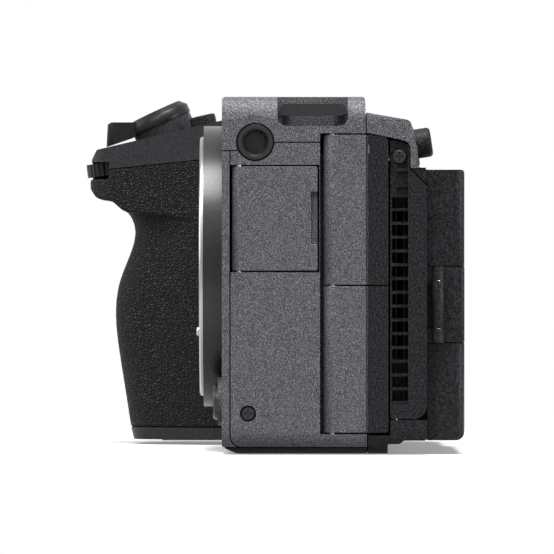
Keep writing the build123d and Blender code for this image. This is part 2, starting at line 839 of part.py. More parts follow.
# Rear shoulder cover: the metal hood over the back, with holes for the controls on its sloped wall
shoulder_region = (
    (step_y + seam, top_z + 1),
    (step_y + seam, tall_high_z + 0.5),
    (vent_front_y + 0.6, tall_high_z - 0.6),
    (vent_rear_y + seam, top_z - 10.0),
    (vent_rear_y + seam, monitor_top_z - 0.1),
    (rear_y + 1, monitor_top_z - 0.1),
    (rear_y + 1, top_z + 1),
)
with BuildPart() as rear_shoulder_cover:
    add(casing_form.part)
    side_prism(shoulder_region, (0, 0, 0, 2, 0, 0, 0), whole_x, mode=Mode.INTERSECT)
    add(room.part, mode=Mode.SUBTRACT)
    rod(on_wall(joystick_u, joystick_v, -4.6), wall_axis, joystick_r + 1.2, 2.6)
    rod(on_wall(joystick_u, joystick_v, -4), wall_axis, gimbal_r + 0.3, 9, mode=Mode.SUBTRACT)
    rod(pivot - toward_port * 6, toward_port, pivot_r + run_gap, 12, mode=Mode.SUBTRACT)
    rod(on_wall(af_u, af_v, -8), wall_axis, af_r + run_gap, 12, mode=Mode.SUBTRACT)
    rod(on_wall(menu_u, menu_v, -8), wall_axis, menu_r + run_gap, 12, mode=Mode.SUBTRACT)
    slot_length = switch_length + switch_travel + 2 * run_gap
    slot_origin = on_wall(switch_u + switch_travel / 2, switch_v, -8)
    slot_plane = Plane(origin=slot_origin, x_dir=(-1, 0, 0), z_dir=wall_axis)
    rounded_slab(slot_plane, slot_length, switch_width + 2 * run_gap, switch_corner_r, 12, mode=Mode.SUBTRACT)
save(rear_shoulder_cover, "rear_shoulder_cover")

# Vent cover: louvres set back in a frame, with the plate behind them
vent_outline = (
    (vent_front_y + seam / 2, vent_low_z),
    (rear_y, vent_low_z),
    (rear_y, monitor_top_z - 4),
    (vent_rear_y, monitor_top_z - 0.25),
    (vent_rear_y, top_z - 10.3),
    (vent_front_y + seam / 2, top_z - 9.4),
)
louvre_gap = louvre_pitch - louvre_thick
with BuildPart() as vent_cover:
    add(casing_form.part)
    side_prism(vent_outline, (0.5, 2.9, 0, 0, 1.8, 0), (vent_frame_x, port_x + 1), mode=Mode.INTERSECT)
    fill((port_x - louvre_set_back, port_x + 1), (vent_front_y, vent_rear_y - 0.3), (vent_low_z + 3, top_z),
         mode=Mode.SUBTRACT)
    for step in range(round((louvre_high_z - louvre_low_z) / louvre_pitch)):
        low = louvre_low_z + step * louvre_pitch
        fill((vent_frame_x - 1, port_x), (vent_front_y + 0.55, vent_rear_y - 0.3), (low, low + louvre_gap),
             mode=Mode.SUBTRACT)
    louvre_back_x = port_x - louvre_set_back - louvre_depth
    fill(
        (vent_frame_x - 1, louvre_back_x),
        (vent_front_y, vent_rear_y),
        (louvre_low_z, louvre_high_z - 1.5),
        mode=Mode.SUBTRACT,
    )
    for rib_y in vent_rib_y:
        rib_x = (louvre_back_x - 0.8, louvre_back_x + 0.4)
        fill(rib_x, (rib_y, rib_y + 0.5), (louvre_low_z - 1, louvre_high_z + 1))
    for low, high in ((louvre_low_z - 1, fan_z[0] + 1), (fan_z[1] - 1, louvre_high_z + 1)):
        fill((vent_frame_x, vent_frame_x + vent_plate), (vent_front_y + seam / 2, vent_rear_y), (low, high))
    for height in vent_ledge_z:
        fill(
            (port_x - louvre_set_back - 0.2, port_x - 0.3),
            (vent_front_y + 1.2, vent_rear_y - 0.3),
            (height - louvre_thick / 2, height + louvre_thick / 2),
        )
    rod((port_x - 8, *vent_screw), (1, 0, 0), screw_shank_r, 9, mode=Mode.SUBTRACT)
save(vent_cover, "vent_cover")

# Rear foot: the dark strip under the doors and along the lower back edge, which belongs to the rear cover
foot_split_y = tall_edge_y - 0.1
foot_floor_z = chin_z + 0.7
with BuildPart() as rear_foot:
    add(casing_form.part)
    fill(whole_x, (foot_split_y + seam, rear_y + 1), (-1, vent_low_z - seam), mode=Mode.INTERSECT)
    inner_x = (grip_x - 1, port_x - side_wall)
    fill(inner_x, (foot_split_y, foot_rear_y - 0.4), (foot_floor_z, vent_low_z), mode=Mode.SUBTRACT)
    chin_floor_z = rear_bottom_z + skin_wall
    fill(inner_x, (foot_rear_y - 1, rear_y - skin_wall), (chin_floor_z, vent_low_z), mode=Mode.SUBTRACT)
    fill(
        (port_x - 10, port_x + 1),
        (foot_split_y, vent_front_y + seam / 2),
        (pocket_low_z - seam, vent_low_z),
        mode=Mode.SUBTRACT,
    )
    fill(
        (grip_x - 1, grip_x + grip_wall_x + seam),
        (foot_split_y, vent_rear_y - 0.6),
        (chin_z - seam, vent_low_z),
        mode=Mode.SUBTRACT,
    )

# Rear cover, with the thumb block, its dial housing and the wheel recess
dial_lug = 2.0
corner_top_z = monitor_top_z - 0.35
corner_outline = ((vent_rear_y + 0.5, corner_top_z), (rear_y, corner_top_z), (rear_y, monitor_top_z - 3.6))
with BuildPart() as rear_cover:
    add(casing_form.part)
    fill(
        (grip_x - 1, vent_frame_x - 0.2),
        (vent_rear_y - 0.6, rear_y + 1),
        (rear_bottom_z - 1, monitor_top_z - 0.35),
        mode=Mode.INTERSECT,
    )
    add(block_form.part)
    add(room.part, mode=Mode.SUBTRACT)
    add(rear_foot.part)
    side_prism(corner_outline, 0, (vent_frame_x - 3, port_x - 0.3))
    fill(
        (grip_x + 4, block_x - 3),
        (rear_y - 3, block_rear_y - 4.4),
        (rear_bottom_z + 3, block_slope_z),
        mode=Mode.SUBTRACT,
    )
    fill(
        (rear_dial_x - 7.5, rear_dial_x + 10),
        (rear_dial_y - 4, rear_y),
        (rear_dial_z - dial_side_gap - dial_lug, rear_dial_z + rear_dial_thick + dial_side_gap + dial_lug),
    )
    rod(
        (rear_dial_x, rear_dial_y, rear_dial_z - dial_side_gap),
        (0, 0, 1),
        rear_dial_r + dial_rim_gap,
        rear_dial_thick + 2 * dial_side_gap,
        mode=Mode.SUBTRACT,
    )
    rod((rear_dial_x, rear_dial_y, rear_dial_z - 1), (0, 0, 1), dial_axle_r, rear_dial_thick + 2)
    wheel_floor_y = block_rear_y + wheel_proud - wheel_thick - 0.15
    rod((wheel_x, wheel_floor_y, wheel_z), (0, 1, 0), wheel_r + 0.3, 6, mode=Mode.SUBTRACT)
    rod((wheel_x, wheel_floor_y - 1, wheel_z), (0, 1, 0), wheel_bore_r - run_gap, 1.6)
    rod((wheel_x, wheel_floor_y - 6, wheel_z), (0, 1, 0), button_stem_r + run_gap, 8, mode=Mode.SUBTRACT)
save(rear_cover, "rear_cover")

# Base plate
with BuildPart() as base_plate:
    add(casing_form.part)
    fill(whole_x, (front_y + 0.5, foot_split_y), (-1, chin_z - seam), mode=Mode.INTERSECT)
    rod((0, 0, -1), (0, 0, 1), tripod_insert_r + insert_seat_gap, 5, mode=Mode.SUBTRACT)
    fill(bay_cut_x, bay_cut_y, (-1, 5), mode=Mode.SUBTRACT)
    fill(
        (bay_hinge_x - lug_half - lug_gap, bay_hinge_x + lug_half + lug_gap),
        (bay_cut_y[1], bay_cut_y[1] + lug_thick + lug_gap),
        (-1, 5),
        mode=Mode.SUBTRACT,
    )
    for x, y in base_screws:
        rod((x, y, -1), (0, 0, 1), screw_head_r + 0.3, 1 + screw_head + screw_sink, mode=Mode.SUBTRACT)
        rod((x, y, -1), (0, 0, 1), screw_shank_r, 5, mode=Mode.SUBTRACT)
save(base_plate, "base_plate")

# Bed under the grip skin
with BuildPart() as grip_bed:
    add(column_bed.part)
    add(nose_bed.part)
    fill((grip_x - 1, 0), (-60, front_y + 0.5), (grip_cap_z + 0.1, top_z), mode=Mode.INTERSECT)
    side_prism(below_seam, seam_radii, grip_span, mode=Mode.INTERSECT)
    dial_notch()
    fill((bay_out_x[1], 0), (front_y - 0.05, 0), (0, top_z), mode=Mode.SUBTRACT)
    fill((grip_x - 1, 0), (front_y - 0.05, 0), (bay_out_z, top_z), mode=Mode.SUBTRACT)

# Grip-side cover: the outer wall, the bed under the grip skin and the battery bay
card_floor_x = grip_x + 3.4
card_axis = (grip_x + card_edge_r, card_door_y[1] - card_edge_r)
card_pin_low = card_door_z[0] - pocket_gap - pin_reach
card_pin_length = card_door_z[1] - card_door_z[0] + 2 * (pocket_gap + pin_reach)
with BuildPart() as right_side_cover:
    add(casing_form.part)
    fill(
        (grip_x - 1, grip_x + grip_wall_x),
        (front_y, vent_rear_y - 0.8),
        (chin_z, front_seam_z - seam / 2),
        mode=Mode.INTERSECT,
    )
    add(room.part, mode=Mode.SUBTRACT)
    fill(bay_out_x, (front_y, bay_in_y[1] + bay_wall), (chin_z, bay_out_z))
    add(grip_bed.part)
    fill(bay_in_x, bay_in_y, (0, battery_z[1] + bay_gap), mode=Mode.SUBTRACT)
    fill(bay_cut_x, bay_cut_y, (0, bay_cut_z), mode=Mode.SUBTRACT)
    fill(
        (grip_x + 1.2, card_floor_x + bed_wall),
        (bay_in_y[1], vent_rear_y - 0.8),
        (card_door_z[0] - bed_wall, card_door_z[1] + bed_wall),
    )
    fill(
        (grip_x - 1, card_floor_x),
        (card_door_y[0] - pocket_gap, card_door_y[1] + pocket_gap),
        (card_door_z[0] - pocket_gap, card_door_z[1] + pocket_gap),
        mode=Mode.SUBTRACT,
    )
    fill(
        (card_floor_x - 1, card_floor_x + 2),
        (card_unit_y[0] - unit_gap, card_unit_y[1] + unit_gap),
        (card_unit_z[0] - unit_gap, card_unit_z[1] + unit_gap),
        mode=Mode.SUBTRACT,
    )
    rod((*card_axis, card_pin_low), (0, 0, 1), hinge_pin_r, card_pin_length, mode=Mode.SUBTRACT)
    rod((grip_x - 1, grip_thread_y, grip_thread_z), (1, 0, 0), seat_r, 12, mode=Mode.SUBTRACT)
    fill(
        (bay_hinge_x - lug_half, bay_hinge_x + lug_half),
        (bay_cut_y[1], bay_cut_y[1] + lug_thick),
        (bay_hinge_z - bay_hinge_r, grip_cap_z + 1),
    )
    rod((bay_hinge_x, bay_cut_y[1] - 1, bay_hinge_z), (0, 1, 0), bay_pin_r, 4, mode=Mode.SUBTRACT)
save(right_side_cover, "right_side_cover")

# Grip skin: soft textured shell over the bed
with BuildPart() as grip_cover:
    add(nose_form.part)
    add(column_form.part)
    fill((grip_x - 1, 0), (-60, front_y - 0.05), (grip_cap_z + 0.1, top_z + 2), mode=Mode.INTERSECT)
    side_prism(below_seam, seam_radii, grip_span, mode=Mode.INTERSECT)
    add(nose_core.part, mode=Mode.SUBTRACT)
    add(column_core.part, mode=Mode.SUBTRACT)
    dial_notch()
save(grip_cover, "grip_cover")

# Grip bottom cap
with BuildPart() as grip_base_cap:
    add(column_form.part)
    fill((grip_x - 1, 0), (-60, front_y - 0.05), (grip_bottom_z, grip_cap_z), mode=Mode.INTERSECT)
    fill(bay_in_x, bay_in_y, (-1, 5), mode=Mode.SUBTRACT)
    fill(bay_cut_x, bay_cut_y, (-1, bay_cut_z), mode=Mode.SUBTRACT)
    rod((bay_hinge_x, bay_cut_y[0] - lug_thick, bay_hinge_z), (0, 1, 0), bay_pin_r, 4, mode=Mode.SUBTRACT)
save(grip_base_cap, "grip_base_cap")

# Grip top cover, with the dial slot, the ring pedestal and the button holes
pedestal_top = ring_height + 0.1
pedestal_inset = 0.3
with BuildPart() as grip_top_cover:
    add(nose_form.part)
    add(column_form.part)
    fill((grip_x - 1, 0), (-60, front_y - 0.05), (nose_low_z - 7, top_z + 2), mode=Mode.INTERSECT)
    side_prism(above_seam, seam_radii, grip_span, mode=Mode.INTERSECT)
    slope_cut = ((-60, slope_height(-60)), (0, slope_height(0)), (0, top_z + 12), (-60, top_z + 12))
    side_prism(slope_cut, 0, (grip_x - 1, 0), mode=Mode.SUBTRACT)
    rod(ring_top - ring_axis * (pedestal_top + 6), ring_axis, ring_r - pedestal_inset, 6)
    rod(ring_top - ring_axis * pedestal_top, ring_axis, ring_bore_r - run_gap, spigot_height)
    rod(ring_top - ring_axis * 11, ring_axis, button_stem_r + run_gap, 12, mode=Mode.SUBTRACT)
    dial_notch()
    rod(dial_slot_start + dial_axis * 0.05, dial_axis, dial_axle_r, dial_slot_height + 1)
    for x in custom_x:
        rod(custom_point(x) - slope_axis * 2.2, slope_axis, custom_r + run_gap, 6, mode=Mode.SUBTRACT)
save(grip_top_cover, "grip_top_cover")


def threaded_insert(mouth, axis, outer, length):
    """Round insert with a blind bore, its rim bevelled and its mouth countersunk."""
    rod(mouth - axis * (length + insert_bottom), axis, outer, length + insert_bottom - rim_bevel)
    with Locations(Plane(origin=mouth - axis * rim_bevel, z_dir=axis)):
        Cone(outer, outer - rim_bevel, rim_bevel, align=(Align.CENTER, Align.CENTER, Align.MIN))
    rod(mouth - axis * length, axis, thread_r, length + 1, mode=Mode.SUBTRACT)
    with Locations(Plane(origin=mouth - axis * mouth_bevel, z_dir=axis)):
        Cone(thread_r, thread_r + mouth_bevel, mouth_bevel, align=(Align.CENTER, Align.CENTER, Align.MIN),
             mode=Mode.SUBTRACT)


# Threaded inserts: port side, grip side, three on top and the tripod thread
with BuildPart() as thread_inserts:
    threaded_insert(Vector(port_x, side_thread_y, side_thread_z), toward_port, insert_r, insert_length)
    threaded_insert(Vector(grip_x, grip_thread_y, grip_thread_z), toward_grip, insert_r, insert_length)
    for place in ((top_thread_x, top_thread_y), (-top_thread_x, top_thread_y), (0, front_thread_y)):
        threaded_insert(Vector(place[0], place[1], top_z), upward, insert_r, insert_length)
    rod((0, 0, 0), (0, 0, 1), tripod_insert_r, chin_z - seam)
    threaded_insert(Vector(0, 0, 0), -upward, tripod_barrel_r, insert_length)
save(thread_inserts, "thread_inserts")

# Strap bars, one in each side's slot
bar_y = (slot_front_y + bar_end_gap, slot_rear_y - bar_end_gap)
bar_height = bar_high_z - bar_low_z
grip_bar_z = grip_slot_z + (bar_low_z + bar_high_z) / 2 - slot_floor_z
with BuildPart() as strap_bars:
    for outer, toward, middle in (
        (port_x - bar_set_back, -1, (bar_low_z + bar_high_z) / 2),
        (grip_x + bar_set_back, 1, grip_bar_z),
    ):
        inner = outer + toward * bar_thick
        plane = Plane.YZ.offset(min(outer, inner))
        middle_y = (bar_y[0] + bar_y[1]) / 2
        with BuildSketch(plane) as stadium:
            with Locations((middle_y, middle)):
                SlotOverall(bar_y[1] - bar_y[0], bar_height)
        extrude(stadium.sketch, amount=bar_thick)
        wall = (port_x - slot_depth) if toward < 0 else (grip_x + slot_depth)
        for y in (bar_y[0] + bar_height / 2, bar_y[1] - bar_height / 2):
            rod((min(inner, wall), y, middle), (1, 0, 0), 1.0, abs(wall - inner))
save(strap_bars, "strap_bars")

# Accessory shoe: a floor with two lipped rails, open to the rear
shoe_top_z = top_z - 0.1
with BuildPart() as accessory_shoe:
    fill((-shoe_outer, shoe_outer), (shoe_front_y, step_y - 0.2), (shoe_low_z, shoe_top_z))
    for half, top in ((shoe_half, shoe_top_z - shoe_lip), (shoe_lip_half, shoe_top_z + 1)):
        fill(
            (-half, half),
            (shoe_front_y + 1, step_y),
            (shoe_low_z + shoe_floor, top),
            mode=Mode.SUBTRACT,
        )
save(accessory_shoe, "accessory_shoe")

# Lens mount: the dark ring, the bright flange with its three claws, and the contact block
claw_rear_y = flange_front_y + claw_thick
claw_root_r = throat_r + 0.02
with BuildPart() as mount_base_ring:
    rod((0, base_ring_front_y, mount_z), (0, 1, 0), base_ring_r, front_y - base_ring_front_y)
    rod((0, base_ring_front_y, mount_z), (0, 1, 0), throat_r + 2.1, throat_rear_y - base_ring_front_y)
    rod((0, base_ring_front_y - 1, mount_z), (0, 1, 0), throat_r, 20, mode=Mode.SUBTRACT)
    rod((lock_x, base_ring_front_y - 1, lock_z), (0, 1, 0), pin_r + run_gap, 20, mode=Mode.SUBTRACT)
save(mount_base_ring, "mount_base_ring")
with BuildPart() as mount_flange:
    rod((0, flange_front_y, mount_z), (0, 1, 0), flange_r, base_ring_front_y - flange_front_y)
    rod((0, flange_front_y - 1, mount_z), (0, 1, 0), throat_r, 4, mode=Mode.SUBTRACT)
    claw_plane = Plane.XZ.offset(-claw_rear_y)
    with BuildSketch(claw_plane) as claws:
        for turn in (20, 140, 260):
            with BuildLine():
                start = turn - claw_angle / 2
                CenterArc((0, mount_z), claw_root_r, start, claw_angle)
                CenterArc((0, mount_z), claw_r, start, claw_angle)
                for angle in (start, start + claw_angle):
                    spoke = (cos(radians(angle)), sin(radians(angle)))
                    Line(
                        (claw_r * spoke[0], mount_z + claw_r * spoke[1]),
                        (claw_root_r * spoke[0], mount_z + claw_root_r * spoke[1]),
                    )
            make_face()
    extrude(claws.sketch, amount=claw_thick)
    with BuildSketch(claw_plane) as relief:
        Circle(throat_r + 1)
        Circle(throat_r - run_gap, mode=Mode.SUBTRACT)
    relief_depth = claw_rear_y - base_ring_front_y
    extrude(relief.sketch.moved(Location((0, 0, mount_z))), amount=relief_depth, mode=Mode.SUBTRACT)
    front_circles = mount_flange.edges().filter_by(GeomType.CIRCLE).group_by(Axis.Y)[0]
    chamfer(front_circles.sort_by(SortBy.RADIUS)[-1], 0.3)
    rod((lock_x, flange_front_y - 1, lock_z), (0, 1, 0), pin_r + run_gap, 5, mode=Mode.SUBTRACT)
save(mount_flange, "mount_flange")
with BuildPart() as lens_contact_block:
    rod((0, -14.6, mount_z), (0, 1, 0), throat_r - 0.05, 3.4)
    rod((0, -15, mount_z), (0, 1, 0), throat_r - 2.6, 6, mode=Mode.SUBTRACT)
    fill((-10, 10), (-20, 0), (0, mount_z - 15), mode=Mode.INTERSECT)
save(lens_contact_block, "lens_contact_block")
with BuildPart() as lens_release_button:
    rod((release_x, front_y - 1.1 - release_proud, release_z), (0, 1, 0), release_r, 3.6)
    chamfer(lens_release_button.faces().sort_by(Axis.Y)[0].edges(), 0.5)
save(lens_release_button, "lens_release_button")
with BuildPart() as lock_pin:
    rod((lock_x, flange_front_y - pin_proud, lock_z), (0, 1, 0), pin_r, 7.4)
    chamfer(lock_pin.faces().sort_by(Axis.Y)[0].edges(), 0.25)
save(lock_pin, "lock_pin")

# Shutter: a slotted frame and the curtain that crosses its aperture
with BuildPart() as shutter_frame:
    fill((-frame_half_x, frame_half_x), frame_y, frame_z)
    fill(
        (-aperture_half_x, aperture_half_x),
        (frame_y[0] - 1, frame_y[1] + 1),
        (mount_z - aperture_half_z, mount_z + aperture_half_z),
        mode=Mode.SUBTRACT,
    )
    curtain_y = (frame_y[0] + frame_y[1]) / 2
    curtain_half_x = aperture_half_x + 1.4
    fill(
        (-curtain_half_x - curtain_gap, curtain_half_x + curtain_gap),
        (curtain_y - curtain_thick / 2 - curtain_gap, curtain_y + curtain_thick / 2 + curtain_gap),
        (curtain_z[0] - 0.2, mount_z + aperture_half_z + 1),
        mode=Mode.SUBTRACT,
    )
    for x in (-frame_half_x + 2.6, frame_half_x - 2.6):
        for z in (mount_z - post_drop, frame_z[1] - 3):
            rod((x, frame_y[1], z), (0, 1, 0), post_r, stabiliser_y[0] - frame_y[1])
            rod((x, room_front_y - seam, z), (0, 1, 0), post_r, frame_y[0] - room_front_y + seam)
save(shutter_frame, "shutter_frame")
with BuildPart() as shutter_curtain:
    fill(
        (-curtain_half_x, curtain_half_x),
        (curtain_y - curtain_thick / 2, curtain_y + curtain_thick / 2),
        curtain_z,
    )
save(shutter_curtain, "shutter_curtain")

# Stabiliser: fixed frame, carrier that shifts sideways and sensor that shifts up and down on it
with BuildPart() as stabiliser_frame:
    fill(
        (-stabiliser_half_x, stabiliser_half_x),
        stabiliser_y,
        (mount_z - stabiliser_half_z, mount_z + stabiliser_half_z),
    )
    fill(
        (-stabiliser_window[0], stabiliser_window[0]),
        (stabiliser_y[0] - 1, stabiliser_y[1] + 1),
        (mount_z - stabiliser_window[1], mount_z + stabiliser_window[1]),
        mode=Mode.SUBTRACT,
    )
    for x in (-stabiliser_half_x + 5, board_x[1] - 2):
        for z in (mount_z - stabiliser_half_z + 4, mount_z + stabiliser_half_z - 5):
            rod((x, stabiliser_y[1], z), (0, 1, 0), post_r, board_y[0] - stabiliser_y[1])
save(stabiliser_frame, "stabiliser_frame")
with BuildPart() as sensor_carrier:
    fill(
        (-carrier_half_x, carrier_half_x),
        carrier_y,
        (mount_z - carrier_half_z, mount_z + carrier_half_z),
    )
    fill(
        (-carrier_window[0], carrier_window[0]),
        (carrier_y[0] - 1, carrier_y[1] + 1),
        (mount_z - carrier_window[1], mount_z + carrier_window[1]),
        mode=Mode.SUBTRACT,
    )
save(sensor_carrier, "sensor_carrier")
with BuildPart() as image_sensor:
    fill(
        (-sensor_half_x, sensor_half_x),
        (0, sensor_thick),
        (mount_z - sensor_half_z, mount_z + sensor_half_z),
    )
    chamfer(image_sensor.edges().filter_by(Axis.Y), 0.8)
save(image_sensor, "image_sensor")

# Electronics and cooling
with BuildPart() as main_board:
    fill(board_x, board_y, board_z)
    for place in ((-8, 22, 12), (-12, 50, 9), (12, 24, 8), (12, 50, 7)):
        with Locations((place[0], board_y[0] - 0.6, place[1])):
            Box(place[2], 1.2, place[2])
save(main_board, "main_board")
sink_y = (board_y[1], board_y[1] + sink_base)
with BuildPart() as heat_sink:
    fill(sink_x, sink_y, sink_z)
    count = int((sink_x[1] - sink_x[0] - fin_thick) // fin_pitch) + 1
    for step in range(count):
        x = sink_x[0] + step * fin_pitch
        fill((x, x + fin_thick), (sink_y[0], fan_y[0] - 0.02), (sink_z[0] + 2, sink_z[1] - 2))
save(heat_sink, "heat_sink")
with BuildPart() as fan_housing:
    fill(fan_x, fan_y, fan_z)
    fill(
        (fan_x[0] + fan_wall, fan_x[1] + 1),
        (fan_y[0] + fan_wall, fan_y[1] - fan_wall),
        (fan_z[0] + fan_wall, fan_z[1] - fan_wall),
        mode=Mode.SUBTRACT,
    )
    rod((fan_centre[0], fan_y[1] - 3, fan_centre[1]), (0, 1, 0), fan_r - 2, 5, mode=Mode.SUBTRACT)
    rod((fan_centre[0], fan_y[0], fan_centre[1]), (0, 1, 0), dial_axle_r, fan_y[1] - fan_y[0] - 2)
save(fan_housing, "fan_housing")
with BuildPart() as fan_rotor:
    hub_y = fan_y[0] + fan_wall + 0.3
    hub_length = fan_y[1] - fan_y[0] - 2 * fan_wall - 0.9
    rod((fan_centre[0], hub_y, fan_centre[1]), (0, 1, 0), 5, hub_length)
    blade_plane = Plane(origin=(fan_centre[0], hub_y, fan_centre[1]), x_dir=(1, 0, 0), z_dir=(0, 1, 0))
    with BuildSketch(blade_plane) as blades:
        with PolarLocations(fan_r - 4, fan_blades):
            Rectangle(7.6, 0.8, rotation=25)
    extrude(blades.sketch, amount=hub_length)
    axle_start = (fan_centre[0], hub_y - 1, fan_centre[1])
    rod(axle_start, (0, 1, 0), dial_axle_r + run_gap, hub_length + 2, mode=Mode.SUBTRACT)
save(fan_rotor, "fan_rotor")

# Battery, its door and the sliding latch
with BuildPart() as battery:
    fill(battery_x, battery_y, battery_z)
    fillet(battery.edges().filter_by(Axis.Z), 2)
save(battery, "battery")
latch_x = (door_x[0] + 2.2, door_x[0] + 2.2 + latch_length)
latch_y = ((door_y[0] + door_y[1] - latch_width) / 2, (door_y[0] + door_y[1] + latch_width) / 2)
with BuildPart() as battery_door:
    fill((door_x[0], bay_hinge_x), door_y, door_z)
    rod((bay_hinge_x, door_y[0], bay_hinge_z), (0, 1, 0), bay_hinge_r, door_y[1] - door_y[0])
    bore_start = (bay_hinge_x, door_y[0] - 1, bay_hinge_z)
    rod(bore_start, (0, 1, 0), bay_pin_r + run_gap, door_y[1] - door_y[0] + 2, mode=Mode.SUBTRACT)
    fill(
        (latch_x[0] - run_gap, latch_x[1] + latch_travel + run_gap),
        (latch_y[0] - run_gap, latch_y[1] + run_gap),
        (-1, 5),
        mode=Mode.SUBTRACT,
    )
save(battery_door, "battery_door")
with BuildPart() as battery_door_latch:
    fill(latch_x, latch_y, (door_z[0] + 0.1, door_z[1] - 0.1))
    for step in range(4):
        x = latch_x[0] + 0.6 + step * 0.8
        fill(
            (x, x + 0.4),
            (latch_y[0] + 1, latch_y[1] - 1),
            (door_z[0] - 1, door_z[0] + 0.35),
            mode=Mode.SUBTRACT,
        )
save(battery_door_latch, "battery_door_latch")

# Cards: the slot unit and its door
with BuildPart() as card_slot_unit:
    fill((card_floor_x, card_unit_inner_x), card_unit_y, card_unit_z)
    for z in (card_unit_z[0] + 1.2, (card_unit_z[0] + card_unit_z[1]) / 2 + 0.6):
        fill(
            (card_floor_x - 1, card_unit_inner_x - 3),
            card_slot_y,
            (z, z + card_slot_height),
            mode=Mode.SUBTRACT,
        )
save(card_slot_unit, "card_slot_unit")
with BuildPart() as card_door:
    rod((*card_axis, card_door_z[0]), (0, 0, 1), card_edge_r, card_door_z[1] - card_door_z[0])
    fill((grip_x, grip_x + door_thick), (card_door_y[0], card_axis[1]), card_door_z)
    rod((*card_axis, card_pin_low), (0, 0, 1), pin_bore_r, card_pin_length, mode=Mode.SUBTRACT)
save(card_door, "card_door")

# Port sockets, each a block with its own opening
socket_x = (port_floor_x - socket_length, port_floor_x)
with BuildPart() as port_receptacles:
    for height in jack_z:
        rod((socket_x[0], jack_y, height), (1, 0, 0), jack_r, socket_length + 0.4)
        rod((socket_x[0] + 1, jack_y, height), (1, 0, 0), jack_bore_r, socket_length + 2, mode=Mode.SUBTRACT)
    for height, size, hole in (
        (video_z, video_size, video_hole),
        (data_z, data_size, data_hole),
        (service_z, service_size, service_hole),
    ):
        with Locations((sum(socket_x) / 2, socket_y, height)):
            Box(socket_length, size[0], size[1])
        with Locations((sum(socket_x) / 2 + 2, socket_y, height)):
            Box(socket_length, hole[0], hole[1], mode=Mode.SUBTRACT)
            Box(socket_length - 1, hole[0] * 0.34, hole[1] * 0.8)
save(port_receptacles, "port_receptacles")

# Monitor: bracket on the casing, arm with the hinge barrel, and the panel's back, bezel and glass
knuckle_low = (arm_z[0] - 0.1, arm_z[0] - 0.1 + knuckle_height)
knuckle_high = (arm_z[1] + 0.1 - knuckle_height, arm_z[1] + 0.1)
barrel_z = (knuckle_low[1] + knuckle_gap, knuckle_high[0] - knuckle_gap)
with BuildPart() as monitor_hinge_bracket:
    for span in (knuckle_low, knuckle_high):
        rod((swing_x, swing_y, span[0]), (0, 0, 1), barrel_r, span[1] - span[0])
        fill((swing_x - barrel_r, swing_x - barrel_r + web_thick), (rear_y + 0.02, swing_y), span)
        rod((swing_x, swing_y, span[0] - 1), (0, 0, 1), swing_pin_r, knuckle_height + 2, mode=Mode.SUBTRACT)
save(monitor_hinge_bracket, "monitor_hinge_bracket")
with BuildPart() as monitor_arm:
    fill((arm_x, monitor_x[1]), monitor_y, arm_z)
    fillet(monitor_arm.edges().filter_by(Axis.Z).sort_by(Axis.Y)[-1], 1)
    rod((swing_x, swing_y, barrel_z[0]), (0, 0, 1), barrel_r, barrel_z[1] - barrel_z[0])
    fill((monitor_x[1] - 1, swing_x), (swing_y, swing_y + barrel_r), barrel_z)
    rod((swing_x, swing_y, barrel_z[0] - 1), (0, 0, 1), swing_pin_r + run_gap, 20, mode=Mode.SUBTRACT)
    trunnion_start = (arm_x - trunnion_reach, sum(monitor_y) / 2, sum(arm_z) / 2)
    rod(trunnion_start, (1, 0, 0), trunnion_r, trunnion_reach + 0.5)
save(monitor_arm, "monitor_arm")
pane_x = (monitor_x[0] + bezel_x, arm_x - bezel_x - 1)
pane_z = (monitor_z[0] + bezel_z, monitor_z[1] - bezel_z)
glass_y = (monitor_y[1] - glass_set_back - glass_thick, monitor_y[1] - glass_set_back)


def monitor_shell(y):
    """Layer of the panel between two Y limits, notched for the arm and bored for its trunnion."""
    fill(monitor_x, y, monitor_z)
    arm_notch_z = (arm_z[0] - arm_gap, arm_z[1] + arm_gap)
    fill((arm_x - arm_gap, monitor_x[1] + 1), (y[0] - 1, y[1] + 1), arm_notch_z, mode=Mode.SUBTRACT)
    fillet(edges(Select.ALL).filter_by(Axis.Y).group_by(Axis.X)[0], monitor_end_r)


def trunnion_bore():
    """Bore for the arm's trunnion."""
    start = (arm_x - trunnion_reach - 2, sum(monitor_y) / 2, sum(arm_z) / 2)
    rod(start, (1, 0, 0), trunnion_r + run_gap, trunnion_reach + 3, mode=Mode.SUBTRACT)


with BuildPart() as monitor_back:
    monitor_shell((monitor_y[0], monitor_split_y))
    trunnion_bore()
save(monitor_back, "monitor_back")
bezel_side = (
    (monitor_split_y, monitor_z[0]),
    (monitor_y[1], monitor_z[0]),
    (monitor_y[1], monitor_z[1]),
    (monitor_split_y, monitor_z[1]),
)
with BuildPart() as monitor_bezel:
    monitor_shell((monitor_split_y + edge_gap, monitor_y[1]))
    rear_edges = monitor_bezel.faces().sort_by(Axis.Y)[-1].outer_wire().edges()
    fillet(rear_edges.filter_by(Axis.Z).sort_by(Axis.X)[-2:], monitor_edge_r)
    side_prism(bezel_side, (0, monitor_foot_r, monitor_head_r, 0), monitor_x, mode=Mode.INTERSECT)
    fill(pane_x, (glass_y[0], monitor_y[1] + 1), pane_z, mode=Mode.SUBTRACT)
    trunnion_bore()
save(monitor_bezel, "monitor_bezel")
with BuildPart() as monitor_glass:
    fill(
        (pane_x[0] + run_gap, pane_x[1] - run_gap),
        (glass_y[0] + 0.02, glass_y[1]),
        (pane_z[0] + run_gap, pane_z[1] - run_gap),
    )
save(monitor_glass, "monitor_glass")

